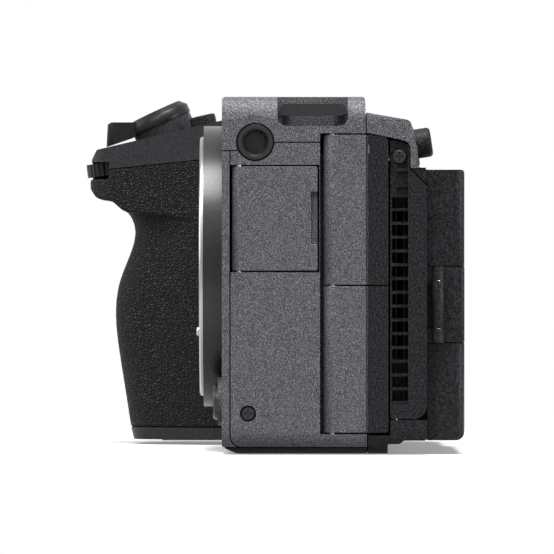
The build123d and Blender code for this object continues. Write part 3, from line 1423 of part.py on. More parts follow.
# Hinge pins: monitor, three port doors, card door and battery door
with BuildPart() as hinge_pins:
    rod((swing_x, swing_y, knuckle_low[0]), (0, 0, 1), swing_pin_r, knuckle_high[1] - knuckle_low[0])
    audio_pin_length = audio_high_z - audio_low_z + 2 * (door_gap + pin_reach)
    rod((*audio_axis, audio_low_z - door_gap - pin_reach), (0, 0, 1), hinge_pin_r, audio_pin_length)
    tall_pin_length = tall_high_z - pocket_low_z + 2 * pin_reach
    rod((*tall_axis, pocket_low_z - pin_reach), (0, 0, 1), hinge_pin_r, tall_pin_length)
    rod((*card_axis, card_pin_low), (0, 0, 1), hinge_pin_r, card_pin_length)
    bay_pin_length = bay_cut_y[1] - bay_cut_y[0] + 2 * lug_thick
    rod((bay_hinge_x, bay_cut_y[0] - lug_thick, bay_hinge_z), (0, 1, 0), bay_pin_r, bay_pin_length)
save(hinge_pins, "hinge_pins")

# Dials and rings
with BuildPart() as front_dial:
    rim_origin = dial_centre - dial_axis * (front_dial_thick / 2)
    rim_plane = Plane(origin=rim_origin, x_dir=(1, 0, 0), z_dir=dial_axis)
    gear_rim(rim_plane, front_dial_r, dial_tooth, dial_teeth, front_dial_thick)
    rod(dial_centre - dial_axis * 4, dial_axis, dial_axle_r + run_gap, 8, mode=Mode.SUBTRACT)
save(front_dial, "front_dial")
with BuildPart() as rear_dial:
    rear_rim_plane = Plane(origin=(rear_dial_x, rear_dial_y, rear_dial_z), z_dir=(0, 0, 1))
    gear_rim(rear_rim_plane, rear_dial_r, dial_tooth, dial_teeth, rear_dial_thick)
    rod((rear_dial_x, rear_dial_y, rear_dial_z - 1), (0, 0, 1), dial_axle_r + run_gap, 8, mode=Mode.SUBTRACT)
save(rear_dial, "rear_dial")
tab_front_y = ring_y - tab_reach
tab_top_z = ring_z - 2.6
tab_side = (
    (tab_front_y, slope_height(tab_front_y) + tab_gap),
    (tab_front_y + 0.3, tab_top_z - 0.5),
    (tab_front_y + 1.2, tab_top_z),
    (ring_y - 3.5, tab_top_z),
    (ring_y - 3.5, tab_top_z - 2.4),
    (ring_y - 5.5, tab_top_z - 3.6),
)
tab_plan = (
    (release_dial_x - tab_half, tab_front_y),
    (release_dial_x + tab_half, tab_front_y),
    (release_dial_x + tab_half, ring_y),
    (release_dial_x - tab_half, ring_y),
)
with BuildPart() as lever_tab:
    side_prism(tab_side, 0, (release_dial_x - tab_half, release_dial_x + tab_half))
    plan_prism(tab_plan, (1.6, 1.6, 0, 0), (ring_z - 12, ring_z), mode=Mode.INTERSECT)
with BuildPart() as zoom_lever:
    rod(ring_top - ring_axis * ring_height, ring_axis, ring_r, ring_height)
    chamfer(zoom_lever.edges().filter_by(GeomType.CIRCLE).sort_by(Axis.Z)[-1], ring_bevel)
    add(lever_tab.part)
    rod(ring_top - ring_axis * 6, ring_axis, ring_bore_r, 8, mode=Mode.SUBTRACT)
save(zoom_lever, "zoom_lever")
with BuildPart() as control_wheel:
    wheel_plane = Plane(origin=(wheel_x, wheel_floor_y + 0.15, wheel_z), x_dir=(1, 0, 0), z_dir=(0, 1, 0))
    gear_rim(wheel_plane, wheel_r, dial_tooth, wheel_teeth, wheel_thick)
    rod((wheel_x, wheel_floor_y - 1, wheel_z), (0, 1, 0), wheel_bore_r, 6, mode=Mode.SUBTRACT)
save(control_wheel, "control_wheel")


def push_button(top, axis, radius, thick, stem):
    """Round button with a stem behind it; top is the centre of its face."""
    rod(top - axis * thick, axis, radius, thick)
    rod(top - axis * (thick + stem), axis, button_stem_r, stem)


# Buttons
with BuildPart() as shutter_button:
    push_button(ring_top - ring_axis * 0.1, ring_axis, shutter_button_r, shutter_button_thick, 5)
    fillet(shutter_button.edges().filter_by(GeomType.CIRCLE).sort_by(Axis.Z)[-1], button_edge_r)
save(shutter_button, "shutter_button")
for number, x in enumerate(custom_x, start=1):
    with BuildPart() as custom_button:
        rod(custom_point(x) - slope_axis * custom_sunk, slope_axis, custom_r, custom_sunk + custom_proud)
        fillet(custom_button.edges().filter_by(GeomType.CIRCLE).sort_by(Axis.Z)[-1], button_edge_r)
    save(custom_button, "custom_button_" + str(number))
with BuildPart() as record_button:
    rod((record_x, record_y, grip_shoulder_z - 4), (0, 0, 1), record_r, 4 + record_proud)
    fillet(record_button.edges().filter_by(GeomType.CIRCLE).sort_by(Axis.Z)[-1], button_edge_r)
save(record_button, "record_button")
with BuildPart() as af_button:
    rod(on_wall(af_u, af_v, -3.4), wall_axis, af_r, 3.4 + af_proud)
    fillet(af_button.edges().filter_by(GeomType.CIRCLE).sort_by(Axis.Y)[-1], 0.3)
save(af_button, "af_button")
with BuildPart() as menu_button:
    rod(on_wall(menu_u, menu_v, -3.4), wall_axis, menu_r, 3.4 + menu_proud)
save(menu_button, "menu_button")
with BuildPart() as centre_button:
    push_button(Vector(wheel_x, block_rear_y + wheel_proud, wheel_z), Vector(0, 1, 0), centre_r, 0.9, 3)
save(centre_button, "centre_button")
with BuildPart() as power_switch:
    knob_plane = Plane(origin=on_wall(switch_u, switch_v, -3), x_dir=(-1, 0, 0), z_dir=wall_axis)
    rounded_slab(knob_plane, switch_length, switch_width, switch_corner_r, 3 + switch_proud)
save(power_switch, "power_switch")

# Joystick: a ring that tips on a pin across the wall, and a stick that tips in it on a pin up the wall
with BuildPart() as joystick_gimbal:
    rod(pivot - wall_axis * (gimbal_thick / 2), wall_axis, gimbal_r, gimbal_thick)
    rod(pivot - toward_port * pivot_reach, toward_port, pivot_r, 2 * pivot_reach)
    rod(pivot - wall_axis * 2, wall_axis, gimbal_bore_r, 4, mode=Mode.SUBTRACT)
    rod(pivot - wall_up * 4, wall_up, pivot_r + run_gap, 8, mode=Mode.SUBTRACT)
save(joystick_gimbal, "joystick_gimbal")
with BuildPart() as joystick:
    rod(pivot - wall_axis * 0.7, wall_axis, stick_r, joystick_sunk + 1.8)
    rod(pivot - wall_up * stick_pin_reach, wall_up, pivot_r, 2 * stick_pin_reach)
    rod(on_wall(joystick_u, joystick_v, 0.8), wall_axis, joystick_r, joystick_reach - 0.8)
    fillet(joystick.edges().filter_by(GeomType.CIRCLE).sort_by(Axis.Y)[-1], 0.8)
save(joystick, "joystick")

# Case screws with crossed recesses
with BuildPart() as case_screws:
    for seat, axis in [
        (Vector(port_x - screw_sink, *side_screw), toward_port),
        (Vector(port_x - louvre_set_back + screw_head, *vent_screw), toward_port),
    ] + [(Vector(x, y, screw_sink), -upward) for x, y in base_screws]:
        rod(seat - axis * screw_head, axis, screw_head_r, screw_head)
        rod(seat - axis * (screw_head + screw_shank), axis, screw_shank_r - 0.02, screw_shank)
        for turn in (0, 90):
            with Locations(Plane(origin=seat, z_dir=axis)):
                Box(1.8, 0.4, 0.9, rotation=(0, 0, turn), mode=Mode.SUBTRACT)
save(case_screws, "case_screws")
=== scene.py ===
"""Looks of the camera body: materials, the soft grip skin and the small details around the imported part."""

import json
import math

import bmesh
import bpy
from mathutils import Matrix, Vector, noise


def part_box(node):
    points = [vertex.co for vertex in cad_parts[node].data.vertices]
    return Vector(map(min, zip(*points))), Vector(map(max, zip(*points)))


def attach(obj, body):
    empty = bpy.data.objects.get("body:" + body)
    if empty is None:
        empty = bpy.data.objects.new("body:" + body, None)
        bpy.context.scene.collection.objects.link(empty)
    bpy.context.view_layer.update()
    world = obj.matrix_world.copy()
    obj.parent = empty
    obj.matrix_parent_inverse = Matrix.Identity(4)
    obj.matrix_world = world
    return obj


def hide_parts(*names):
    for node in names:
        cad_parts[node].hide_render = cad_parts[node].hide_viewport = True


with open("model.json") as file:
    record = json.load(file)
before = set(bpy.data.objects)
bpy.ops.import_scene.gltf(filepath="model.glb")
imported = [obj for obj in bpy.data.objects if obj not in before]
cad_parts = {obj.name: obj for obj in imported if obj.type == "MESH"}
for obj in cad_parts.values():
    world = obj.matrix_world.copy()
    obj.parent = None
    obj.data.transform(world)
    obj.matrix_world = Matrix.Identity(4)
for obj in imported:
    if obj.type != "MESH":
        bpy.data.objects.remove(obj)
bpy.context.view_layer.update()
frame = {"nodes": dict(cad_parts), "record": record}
nodes = frame["nodes"]

MM = 0.001

# Camera, placed from the photograph: square on to the port side
IMAGE_SIZE = 554
EYE_X = 1.650
EYE_Y = -0.0008
EYE_Z = 0.0385
FOCAL_PIXELS = 7360.0
SENSOR_WIDTH = 36.0
CLIP_NEAR = 0.05
CLIP_FAR = 20.0

# Sockets of a colour mix node, by number
MIX_FACTOR = 0
MIX_DARK = 6
MIX_LIGHT = 7
MIX_COLOUR = 2


def linear(level):
    """Linear value of a display level from 0 to 255."""
    c = level / 255
    return c / 12.92 if c <= 0.04045 else ((c + 0.055) / 1.055) ** 2.4


def colour(red, green, blue):
    """Linear colour of display levels from 0 to 255."""
    return (linear(red), linear(green), linear(blue), 1.0)


def add_node(tree, kind, inputs=None, **settings):
    """New node with its settings, and its input values or links."""
    made = tree.nodes.new(kind)
    for key, value in settings.items():
        setattr(made, key, value)
    for key, value in (inputs or {}).items():
        if isinstance(value, bpy.types.NodeSocket):
            tree.links.new(value, made.inputs[key])
        else:
            made.inputs[key].default_value = value
    return made


# Materials


class Finish:
    """A Principled material whose textures are laid in the part's own space."""

    def __init__(self, name, roughness, metallic=0.0, **sockets):
        self.material = bpy.data.materials.new(name)
        self.material.use_nodes = True
        self.tree = self.material.node_tree
        self.shader = self.tree.nodes["Principled BSDF"]
        self.shader.inputs["Roughness"].default_value = roughness
        self.shader.inputs["Metallic"].default_value = metallic
        for socket, value in sockets.items():
            self.shader.inputs[socket.replace("_", " ")].default_value = value
        self.place = self.tree.nodes.new("ShaderNodeTexCoord").outputs["Object"]
        self.height = None

    def node(self, kind, inputs=None, **settings):
        """New node in the material's own tree."""
        return add_node(self.tree, kind, inputs, **settings)

    def grain(self, size, detail=2.0, roughness=0.5):
        """Noise whose lumps are about size across, in metres."""
        inputs = {"Vector": self.place, "Scale": 1 / size, "Detail": detail, "Roughness": roughness}
        return self.node("ShaderNodeTexNoise", inputs).outputs["Fac"]

    def cell_edges(self, size, place):
        """Distance to the nearest edge of cells about size across, in metres."""
        inputs = {"Vector": place, "Scale": 1 / size}
        return self.node("ShaderNodeTexVoronoi", inputs, feature="DISTANCE_TO_EDGE").outputs["Distance"]

    def span(self, value, low, high, to_low=0.0, to_high=1.0):
        """Value between low and high, spread between two new limits."""
        inputs = {"Value": value, "From Min": low, "From Max": high, "To Min": to_low, "To Max": to_high}
        return self.node("ShaderNodeMapRange", inputs).outputs["Result"]

    def join(self, operation, a, b):
        """Arithmetic on two values."""
        return self.node("ShaderNodeMath", {0: a, 1: b}, operation=operation).outputs["Value"]

    def move(self, operation, a, inputs):
        """Arithmetic on a vector."""
        return self.node("ShaderNodeVectorMath", {0: a, **inputs}, operation=operation).outputs["Vector"]

    def paint(self, factor, dark, light):
        """Base colour that runs from dark to light with factor."""
        inputs = {MIX_FACTOR: factor, MIX_DARK: dark, MIX_LIGHT: light}
        made = self.node("ShaderNodeMix", inputs, data_type="RGBA")
        self.tree.links.new(made.outputs[MIX_COLOUR], self.shader.inputs["Base Color"])

    def gloss(self, value):
        """Roughness that follows a value."""
        self.tree.links.new(value, self.shader.inputs["Roughness"])

    def relief(self, height, depth):
        """Bump of a height pattern, its full range depth metres deep, laid over what is there."""
        inputs = {"Height": height, "Distance": depth, "Strength": 1.0}
        if self.height is not None:
            inputs["Normal"] = self.height
        self.height = self.node("ShaderNodeBump", inputs).outputs["Normal"]
        self.tree.links.new(self.height, self.shader.inputs["Normal"])


def shade(base, factor):
    """A colour made darker or lighter."""
    return tuple(min(1.0, c * factor) for c in base[:3]) + (1.0,)


def powder_paint():
    """Dark grey metal paint with fine bright and dark specks and a sandy surface."""
    f = Finish("casing_paint", 0.46, metallic=0.1, Specular_IOR_Level=0.17)
    base = colour(76, 76, 80)
    specks = f.grain(0.00022, roughness=0.7)
    grit = f.join("POWER", f.span(specks, 0.36, 0.68), 2.0)
    f.paint(grit, shade(base, 0.36), shade(base, 3.1))
    f.gloss(f.span(specks, 0.3, 0.7, 0.54, 0.34))
    f.relief(f.grain(0.00028), 0.00013)
    return f.material


def spark_plastic(name, level, roughness=0.5, size=0.0004, depth=0.00005):
    """Black plastic with the fine pitted texture of a spark-eroded mould, its colour following the bump:
    painted shade in the low pits and painted highlight specks on the raised grain.
    """
    f = Finish(name, roughness, Specular_IOR_Level=0.08)
    base = colour(level, level, level + 2)
    pits = f.grain(size, detail=3.0, roughness=0.7)
    # Painted shade and highlight: the same noise as the bump darkens the low pits and lightens the raised
    # grain.
    f.paint(f.join("POWER", f.span(pits, 0.33, 0.67), 1.5), shade(base, 0.1), shade(base, 4.2))
    f.gloss(f.span(pits, 0.3, 0.7, roughness + 0.08, roughness - 0.12))
    f.relief(pits, depth)
    return f.material


def smooth_plastic():
    """Satin black plastic with fine pits, its colour following the bump: painted shade in the low pits and
    painted sparkle on the raised grain.
    """
    f = Finish("grip_plastic", 0.4, Specular_IOR_Level=0.18)
    base = colour(32, 32, 35)
    pits = f.grain(0.0005, detail=3.0, roughness=0.7)
    # Painted shade and sparkle: the same noise as the bump darkens the low pits and lightens the raised
    # grain.
    f.paint(f.span(pits, 0.33, 0.67), shade(base, 0.3), shade(base, 2.0))
    f.gloss(f.span(pits, 0.3, 0.7, 0.5, 0.34))
    f.relief(pits, 0.00006)
    return f.material


def leather_rubber():
    """Black rubber moulded with a fine wrinkled leather grain, with painted shade darkening the creases at
    the cell edges and painted light on the raised cell tops.
    """
    f = Finish("grip_leather", 0.45, Specular_IOR_Level=0.18)
    base = colour(14, 13, 17)
    warp = f.node("ShaderNodeTexNoise", {"Vector": f.place, "Scale": 700.0, "Detail": 2.0}).outputs["Color"]
    centred = f.move("SUBTRACT", warp, {1: (0.5, 0.5, 0.5)})
    shift = f.move("SCALE", centred, {"Scale": 0.0011})
    place = f.move("ADD", f.place, {1: shift})
    pebbles_and_crease_shade = f.span(f.cell_edges(0.0007, place), 0.0, 0.35)
    # Painted shade: the colour follows the relief, darkest in the creases at the cell edges and lightest on
    # the raised cell tops.
    f.paint(pebbles_and_crease_shade, shade(base, 0.1), shade(base, 2.3))
    f.gloss(f.span(pebbles_and_crease_shade, 0.0, 1.0, 0.8, 0.42))
    f.relief(pebbles_and_crease_shade, 0.0003)
    f.relief(f.grain(0.0003, detail=3.0), 0.00003)
    return f.material


def black_metal():
    """Semi-gloss black anodised metal with a faint grain."""
    f = Finish("black_metal", 0.3, metallic=0.5)
    base = colour(36, 36, 37)
    f.paint(f.span(f.grain(0.0005), 0.3, 0.7), shade(base, 0.8), shade(base, 1.25))
    f.gloss(f.span(f.grain(0.0004, detail=3.0), 0.3, 0.7, 0.28, 0.33))
    f.relief(f.grain(0.0002), 0.000004)
    return f.material


def bright_metal():
    """Polished metal with a very fine grain."""
    f = Finish("bright_metal", 0.3, metallic=1.0)
    base = (0.3, 0.3, 0.305, 1.0)
    f.paint(f.span(f.grain(0.00018, detail=3.0), 0.3, 0.7), shade(base, 0.93), shade(base, 1.07))
    f.gloss(f.span(f.grain(0.0002), 0.3, 0.7, 0.28, 0.34))
    f.relief(f.grain(0.00015), 0.000002)
    return f.material


def steel():
    """Bare steel pin."""
    f = Finish("pin_steel", 0.3, metallic=1.0)
    f.paint(f.span(f.grain(0.0004), 0.3, 0.7), (0.3, 0.3, 0.31, 1.0), (0.42, 0.42, 0.43, 1.0))
    f.relief(f.grain(0.0002), 0.000005)
    return f.material


def dial_metal():
    """Black anodised aluminium of the dials."""
    f = Finish("dial_metal", 0.33, metallic=0.4, Specular_IOR_Level=0.2)
    base = colour(26, 26, 28)
    f.paint(f.span(f.grain(0.0003), 0.3, 0.7), shade(base, 0.8), shade(base, 1.3))
    f.gloss(f.span(f.grain(0.001), 0.3, 0.7, 0.3, 0.44))
    f.relief(f.grain(0.0002), 0.00001)
    return f.material


def bare_aluminium():
    """Bare milled aluminium."""
    f = Finish("bare_aluminium", 0.38, metallic=1.0)
    f.paint(f.span(f.grain(0.0012, detail=4.0), 0.3, 0.7), (0.5, 0.5, 0.51, 1.0), (0.66, 0.66, 0.67, 1.0))
    f.relief(f.grain(0.0003), 0.00001)
    return f.material


def circuit_board():
    """Green lacquered board with faint copper tracks under the lacquer."""
    f = Finish("circuit_board", 0.35)
    tracks = f.node("ShaderNodeTexBrick", {"Vector": f.place, "Scale": 320.0}).outputs["Fac"]
    f.paint(tracks, (0.012, 0.07, 0.03, 1.0), (0.03, 0.14, 0.06, 1.0))
    f.relief(tracks, 0.00003)
    return f.material


def sensor_glass():
    """Filter glass over the sensor, dark with a violet cast."""
    f = Finish("sensor_glass", 0.06, Coat_Weight=1.0, Coat_Roughness=0.02)
    facing = f.node("ShaderNodeLayerWeight", {"Blend": 0.35}).outputs["Facing"]
    f.paint(facing, (0.035, 0.018, 0.06, 1.0), (0.03, 0.09, 0.07, 1.0))
    return f.material


def screen_glass():
    """Black cover glass of the monitor with faint smudges."""
    f = Finish("screen_glass", 0.06, Coat_Weight=1.0, Coat_Roughness=0.03)
    smudge = f.grain(0.012, detail=4.0)
    f.paint(f.span(smudge, 0.3, 0.7), (0.006, 0.006, 0.007, 1.0), (0.012, 0.012, 0.014, 1.0))
    f.gloss(f.span(smudge, 0.35, 0.7, 0.04, 0.12))
    return f.material


def red_plastic():
    """Gloss red plastic of the record button."""
    f = Finish("record_red", 0.25)
    f.paint(f.span(f.grain(0.002), 0.3, 0.7), (0.32, 0.015, 0.015, 1.0), (0.42, 0.025, 0.02, 1.0))
    f.relief(f.grain(0.0004), 0.00001)
    return f.material


def gold_contact():
    """Gold plate of the electrical contacts."""
    f = Finish("gold_contact", 0.25, metallic=1.0)
    f.paint(f.span(f.grain(0.0004), 0.3, 0.7), (0.75, 0.5, 0.18, 1.0), (0.95, 0.68, 0.3, 1.0))
    return f.material


FINISHES = {
    "casing_metal": powder_paint(),
    "dark_plastic": spark_plastic("monitor_plastic", 22, roughness=0.42, size=0.00045, depth=0.00007),
    "grip_rubber": leather_rubber(),
    "smooth_plastic": smooth_plastic(),
    "black_metal": black_metal(),
    "bright_metal": bright_metal(),
    "steel": steel(),
    "dial_metal": dial_metal(),
    "aluminium": bare_aluminium(),
    "inner_plastic": spark_plastic("inner_plastic", 14, roughness=0.6),
    "board": circuit_board(),
    "sensor": sensor_glass(),
    "battery_case": spark_plastic("battery_plastic", 42, roughness=0.45),
    "screen_glass": screen_glass(),
    "button_red": red_plastic(),
}
for part in frame["record"]["subparts"]:
    target = nodes[part["node"]]
    target.data.materials.clear()
    target.data.materials.append(FINISHES[part["material_slot"]])


# Fine edge rounding on the hard parts of the CAD model: widths in metres, the angle in degrees

ROUNDED = (
    "front_cover", "top_cover", "left_side_cover", "right_side_cover", "rear_cover", "rear_shoulder_cover",
    "base_plate", "vent_cover", "audio_door", "video_door", "video_door_edge", "data_door", "data_door_edge",
    "card_door", "battery_door", "monitor_back", "monitor_bezel", "monitor_arm", "grip_base_cap",
    "thread_inserts", "strap_bars", "accessory_shoe", "zoom_lever", "lens_release_button",
)
EDGE = 0.00012
RIM = 0.00035
ROUNDED_FROM = 50
WELD_REACH = 0.000002
for name in ROUNDED:
    weld = nodes[name].modifiers.new("weld", "WELD")
    weld.merge_threshold = WELD_REACH
    bevel = nodes[name].modifiers.new("edge", "BEVEL")
    bevel.limit_method = "ANGLE"
    bevel.angle_limit = math.radians(ROUNDED_FROM)
    bevel.width = RIM if name == "thread_inserts" else EDGE
    bevel.segments = 3
    bevel.harden_normals = True


# Pieces


def aim(origin, axis):
    """Matrix from millimetres round the local Z axis to the frame, Z along axis at origin."""
    turn = Vector((0, 0, 1)).rotation_difference(Vector(axis)).to_matrix().to_4x4()
    return Matrix.Translation(Vector(origin) * MM) @ turn @ Matrix.Scale(MM, 4)


def circle(bm, place, radius, height, steps):
    """Ring of points round the local Z axis, or one point on it."""
    if radius == 0:
        return [bm.verts.new(place @ Vector((0, 0, height)))]
    turns = [2 * math.pi * i / steps for i in range(steps)]
    points = [(radius * math.cos(a), radius * math.sin(a), height) for a in turns]
    return [bm.verts.new(place @ Vector(point)) for point in points]


def bridge(bm, low, high):
    """Faces between two rings of points."""
    count = max(len(low), len(high))
    for i in range(count):
        below = (low[i % len(low)], low[(i + 1) % len(low)])
        above = (high[(i + 1) % len(high)], high[i % len(high)])
        corners = list(dict.fromkeys(below + above))
        if len(corners) > 2:
            bm.faces.new(corners)


def lathe(bm, place, profile, steps):
    """Surface turned round the local Z axis from radii and heights; its last ring comes back."""
    rings = [circle(bm, place, radius, height, steps) for radius, height in profile]
    for low, high in zip(rings, rings[1:]):
        bridge(bm, low, high)
    return rings[-1]


CORNER_STEPS = 5
LIP_SHARE = 0.35


def rounded_outline(bm, place, half, radius, height):
    """Points round a rectangle with round corners, given by its half sizes."""
    points = []
    for turn, (side_x, side_y) in enumerate(((1, 1), (-1, 1), (-1, -1), (1, -1))):
        for step in range(CORNER_STEPS + 1):
            angle = math.pi / 2 * (turn + step / CORNER_STEPS)
            x = side_x * (half[0] - radius) + radius * math.cos(angle)
            y = side_y * (half[1] - radius) + radius * math.sin(angle)
            points.append(bm.verts.new(place @ Vector((x, y, height))))
    return points


def box_ring(bm, place, outer, inner, low, high, corner):
    """Rectangular frame between two rounded rectangles, its edges bevelled."""
    lip = (high - low) * LIP_SHARE
    outer_top = (outer[0] - lip, outer[1] - lip)
    inner_top = (inner[0] + lip, inner[1] + lip)
    section = (
        (outer, low), (outer, high - lip), (outer_top, high),
        (inner_top, high), (inner, high - lip), (inner, low),
    )
    loops = [rounded_outline(bm, place, half, corner, height) for half, height in section]
    for first, second in zip(loops, loops[1:] + loops[:1]):
        bridge(bm, first, second)


HEAD_RIM = ((1, -0.9), (1, -0.26), (0.95, -0.1), (0.86, 0))
ARM_SHARE = 0.62
HALF_SHARE = 0.14
RECESS_TAPER = 0.8
RECESS_DEPTH = 0.6


def cross_screw(bm, place, radius, steps=28):
    """Screw head with a rounded rim and a crossed recess, its top at height 0."""
    top = lathe(bm, place, [(radius * share, height) for share, height in HEAD_RIM], steps)
    arm = ARM_SHARE * radius
    half = HALF_SHARE * radius
    outline = (
        (arm, -half), (arm, half), (half, half), (half, arm), (-half, arm), (-half, half),
        (-arm, half), (-arm, -half), (-half, -half), (-half, -arm), (half, -arm), (half, -half),
    )
    mouth = [bm.verts.new(place @ Vector((x, y, 0))) for x, y in outline]
    sunk = [(x * RECESS_TAPER, y * RECESS_TAPER, -RECESS_DEPTH) for x, y in outline]
    floor = [bm.verts.new(place @ Vector(point)) for point in sunk]
    edges = [bm.edges.get((top[i], top[(i + 1) % steps])) for i in range(steps)]
    edges += [bm.edges.new((a, b)) for a, b in zip(mouth, mouth[1:] + mouth[:1])]
    bmesh.ops.triangle_fill(bm, edges=edges, use_beauty=True)
    bridge(bm, mouth, floor)
    bm.faces.new(floor)


THREAD_START = 0.5
THREAD_OVERLAP = 0.02


def thread_spiral(bm, place, radius, pitch, depth, turns, steps=32):
    """Ridge that winds down a bore from its mouth."""
    rows = []
    root = radius + THREAD_OVERLAP
    for i in range(int(turns * steps) + 1):
        angle = 2 * math.pi * i / steps
        drop = -THREAD_START - pitch * i / steps
        ramp = min(1.0, i / steps, (turns * steps - i) / steps)
        spoke = Vector((math.cos(angle), -math.sin(angle), 0))
        tip = radius - depth * ramp
        shape = ((root, 0.0), (tip, pitch * 0.36), (tip, pitch * 0.5), (root, pitch * 0.86))
        rows.append([bm.verts.new(place @ (spoke * r + Vector((0, 0, drop - z)))) for r, z in shape])
    for first, second in zip(rows, rows[1:]):
        bridge(bm, first, second)
    bm.faces.new(rows[0])
    bm.faces.new(rows[-1])


def add_piece(name, bm, finish, body, crease=35):
    """Mesh piece that rides a body and takes the finish it is given."""
    bmesh.ops.recalc_face_normals(bm, faces=bm.faces)
    mesh = bpy.data.meshes.new(name)
    bm.to_mesh(mesh)
    bm.free()
    mesh.shade_smooth()
    mesh.set_sharp_from_angle(angle=math.radians(crease))
    mesh.materials.append(finish)
    made = bpy.data.objects.new(name, mesh)
    bpy.context.scene.collection.objects.link(made)
    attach(made, body)
    return made


SKIN_VOXEL = 0.0004
SKIN_DEPTH = 0.00004
WRINKLE = 0.0016
CREASE_WIDTH = 0.3


def grip_skin():
    """Rubber skin of the grip with its leather wrinkles, in place of the plain solid."""
    source = nodes["grip_cover"]
    rough = bpy.data.objects.new("rough_skin", source.data.copy())
    bpy.context.scene.collection.objects.link(rough)
    weld = rough.modifiers.new("weld", "WELD")
    weld.merge_threshold = WELD_REACH
    remesh = rough.modifiers.new("remesh", "REMESH")
    remesh.mode = "VOXEL"
    remesh.voxel_size = SKIN_VOXEL
    ease = rough.modifiers.new("ease", "SMOOTH")
    ease.factor = 0.5
    ease.iterations = 2
    shown = rough.evaluated_get(bpy.context.evaluated_depsgraph_get())
    mesh = bpy.data.meshes.new_from_object(shown)
    mesh.name = "grip_skin"
    normals = [v.normal.copy() for v in mesh.vertices]
    for v, normal in zip(mesh.vertices, normals):
        near = noise.voronoi(v.co / WRINKLE)[0]
        crease = max(0.0, 1.0 - (near[1] - near[0]) / CREASE_WIDTH)
        v.co -= normal * SKIN_DEPTH * crease
    bpy.data.objects.remove(rough)
    mesh.materials.clear()
    mesh.materials.append(FINISHES["grip_rubber"])
    mesh.shade_smooth()
    made = bpy.data.objects.new("grip_skin", mesh)
    bpy.context.scene.collection.objects.link(made)
    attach(made, "chassis")
    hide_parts("grip_cover")


grip_skin()

THREADS = (
    ("side", (50.0, -5.54, 67.85), (1, 0, 0)),
    ("grip", (-79.7, 4.0, 61.0), (-1, 0, 0)),
    ("top_port", (29.0, 7.0, 77.8), (0, 0, 1)),
    ("top_grip", (-29.0, 7.0, 77.8), (0, 0, 1)),
    ("top_front", (0.0, -7.2, 77.8), (0, 0, 1)),
    ("tripod", (0.0, 0.0, 0.0), (0, 0, -1)),
)
for label, mouth, axis in THREADS:
    bm = bmesh.new()
    thread_spiral(bm, aim(mouth, axis), radius=2.6, pitch=1.27, depth=0.3, turns=4.4)
    add_piece("thread_" + label, bm, FINISHES["steel"], "chassis", crease=60)

MOUNT_Z = 40.9
FLANGE_Y = -18.0


def on_mount(radius, turn, y):
    """Place that faces forward at a radius and a turn in degrees round the lens axis."""
    angle = math.radians(turn)
    return aim((radius * math.cos(angle), y, MOUNT_Z + radius * math.sin(angle)), (0, -1, 0))


FLANGE_SCREW_CIRCLE = 26.3
FLANGE_SCREW_R = 1.15
FLANGE_SCREW_SUNK = 0.04
bm = bmesh.new()
for turn in range(12, 360, 60):
    cross_screw(bm, on_mount(FLANGE_SCREW_CIRCLE, turn, FLANGE_Y - FLANGE_SCREW_SUNK), FLANGE_SCREW_R)
add_piece("flange_screws", bm, FINISHES["black_metal"], "chassis")

CASE_SCREW_R = 1.5
SIDE_SCREWS = ((49.75, -7.1, 8.8), (49.8, 25.8, 64.7))
BASE_SCREWS = ((38.0, -4.0), (38.0, 15.4), (-38.0, -4.0), (-38.0, 15.4), (14.0, 15.4), (-14.0, 15.4))
BASE_SCREW_SUNK = 0.25
bm = bmesh.new()
for seat in SIDE_SCREWS:
    cross_screw(bm, aim(seat, (1, 0, 0)), CASE_SCREW_R)
for x, y in BASE_SCREWS:
    cross_screw(bm, aim((x, y, BASE_SCREW_SUNK), (0, 0, -1)), CASE_SCREW_R)
heads = add_piece("case_screw_heads", bm, FINISHES["black_metal"], "chassis")
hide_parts("case_screws")

CONTACTS = 10
CONTACT_CIRCLE = 21.75
CONTACT_TURN = 4.6
CONTACT_Y = -14.6
CONTACT_PROFILE = ((0.62, -0.2), (0.62, 0.05), (0.42, 0.22), (0.2, 0.3), (0, 0.32))
bm = bmesh.new()
for index in range(CONTACTS):
    turn = 270 + (index - (CONTACTS - 1) / 2) * CONTACT_TURN
    lathe(bm, on_mount(CONTACT_CIRCLE, turn, CONTACT_Y), CONTACT_PROFILE, steps=16)
add_piece("contact_pins", bm, gold_contact(), "chassis")

BAFFLE_Y = -10.6
bm = bmesh.new()
place = aim((0, BAFFLE_Y, MOUNT_Z), (0, -1, 0))
box_ring(bm, place, outer=(17.6, 14.2), inner=(16.2, 11.4), low=-1.4, high=0.6, corner=2.2)
add_piece("light_baffle", bm, FINISHES["inner_plastic"], "chassis")

sensor_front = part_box("image_sensor")[0][1] / MM
bm = bmesh.new()
place = aim((0, sensor_front, MOUNT_Z), (0, -1, 0))
box_ring(bm, place, outer=(19.0, 13.5), inner=(17.9, 12.1), low=-0.1, high=0.35, corner=0.8)
add_piece("filter_frame", bm, FINISHES["black_metal"], "image_sensor")

GASKET_OUT = 0.3
GASKET_IN = 0.9
glass_low, glass_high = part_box("monitor_glass")
centre = [(glass_low[i] + glass_high[i]) / 2 / MM for i in range(3)]
half = [(glass_high[i] - glass_low[i]) / 2 / MM for i in range(3)]
outer = (half[0] - GASKET_OUT, half[2] - GASKET_OUT)
inner = (half[0] - GASKET_IN, half[2] - GASKET_IN)
bm = bmesh.new()
place = aim((centre[0], glass_high[1] / MM, centre[2]), (0, 1, 0))
box_ring(bm, place, outer, inner, low=-0.1, high=0.12, corner=0.9)
add_piece("screen_gasket", bm, FINISHES["inner_plastic"], "monitor")

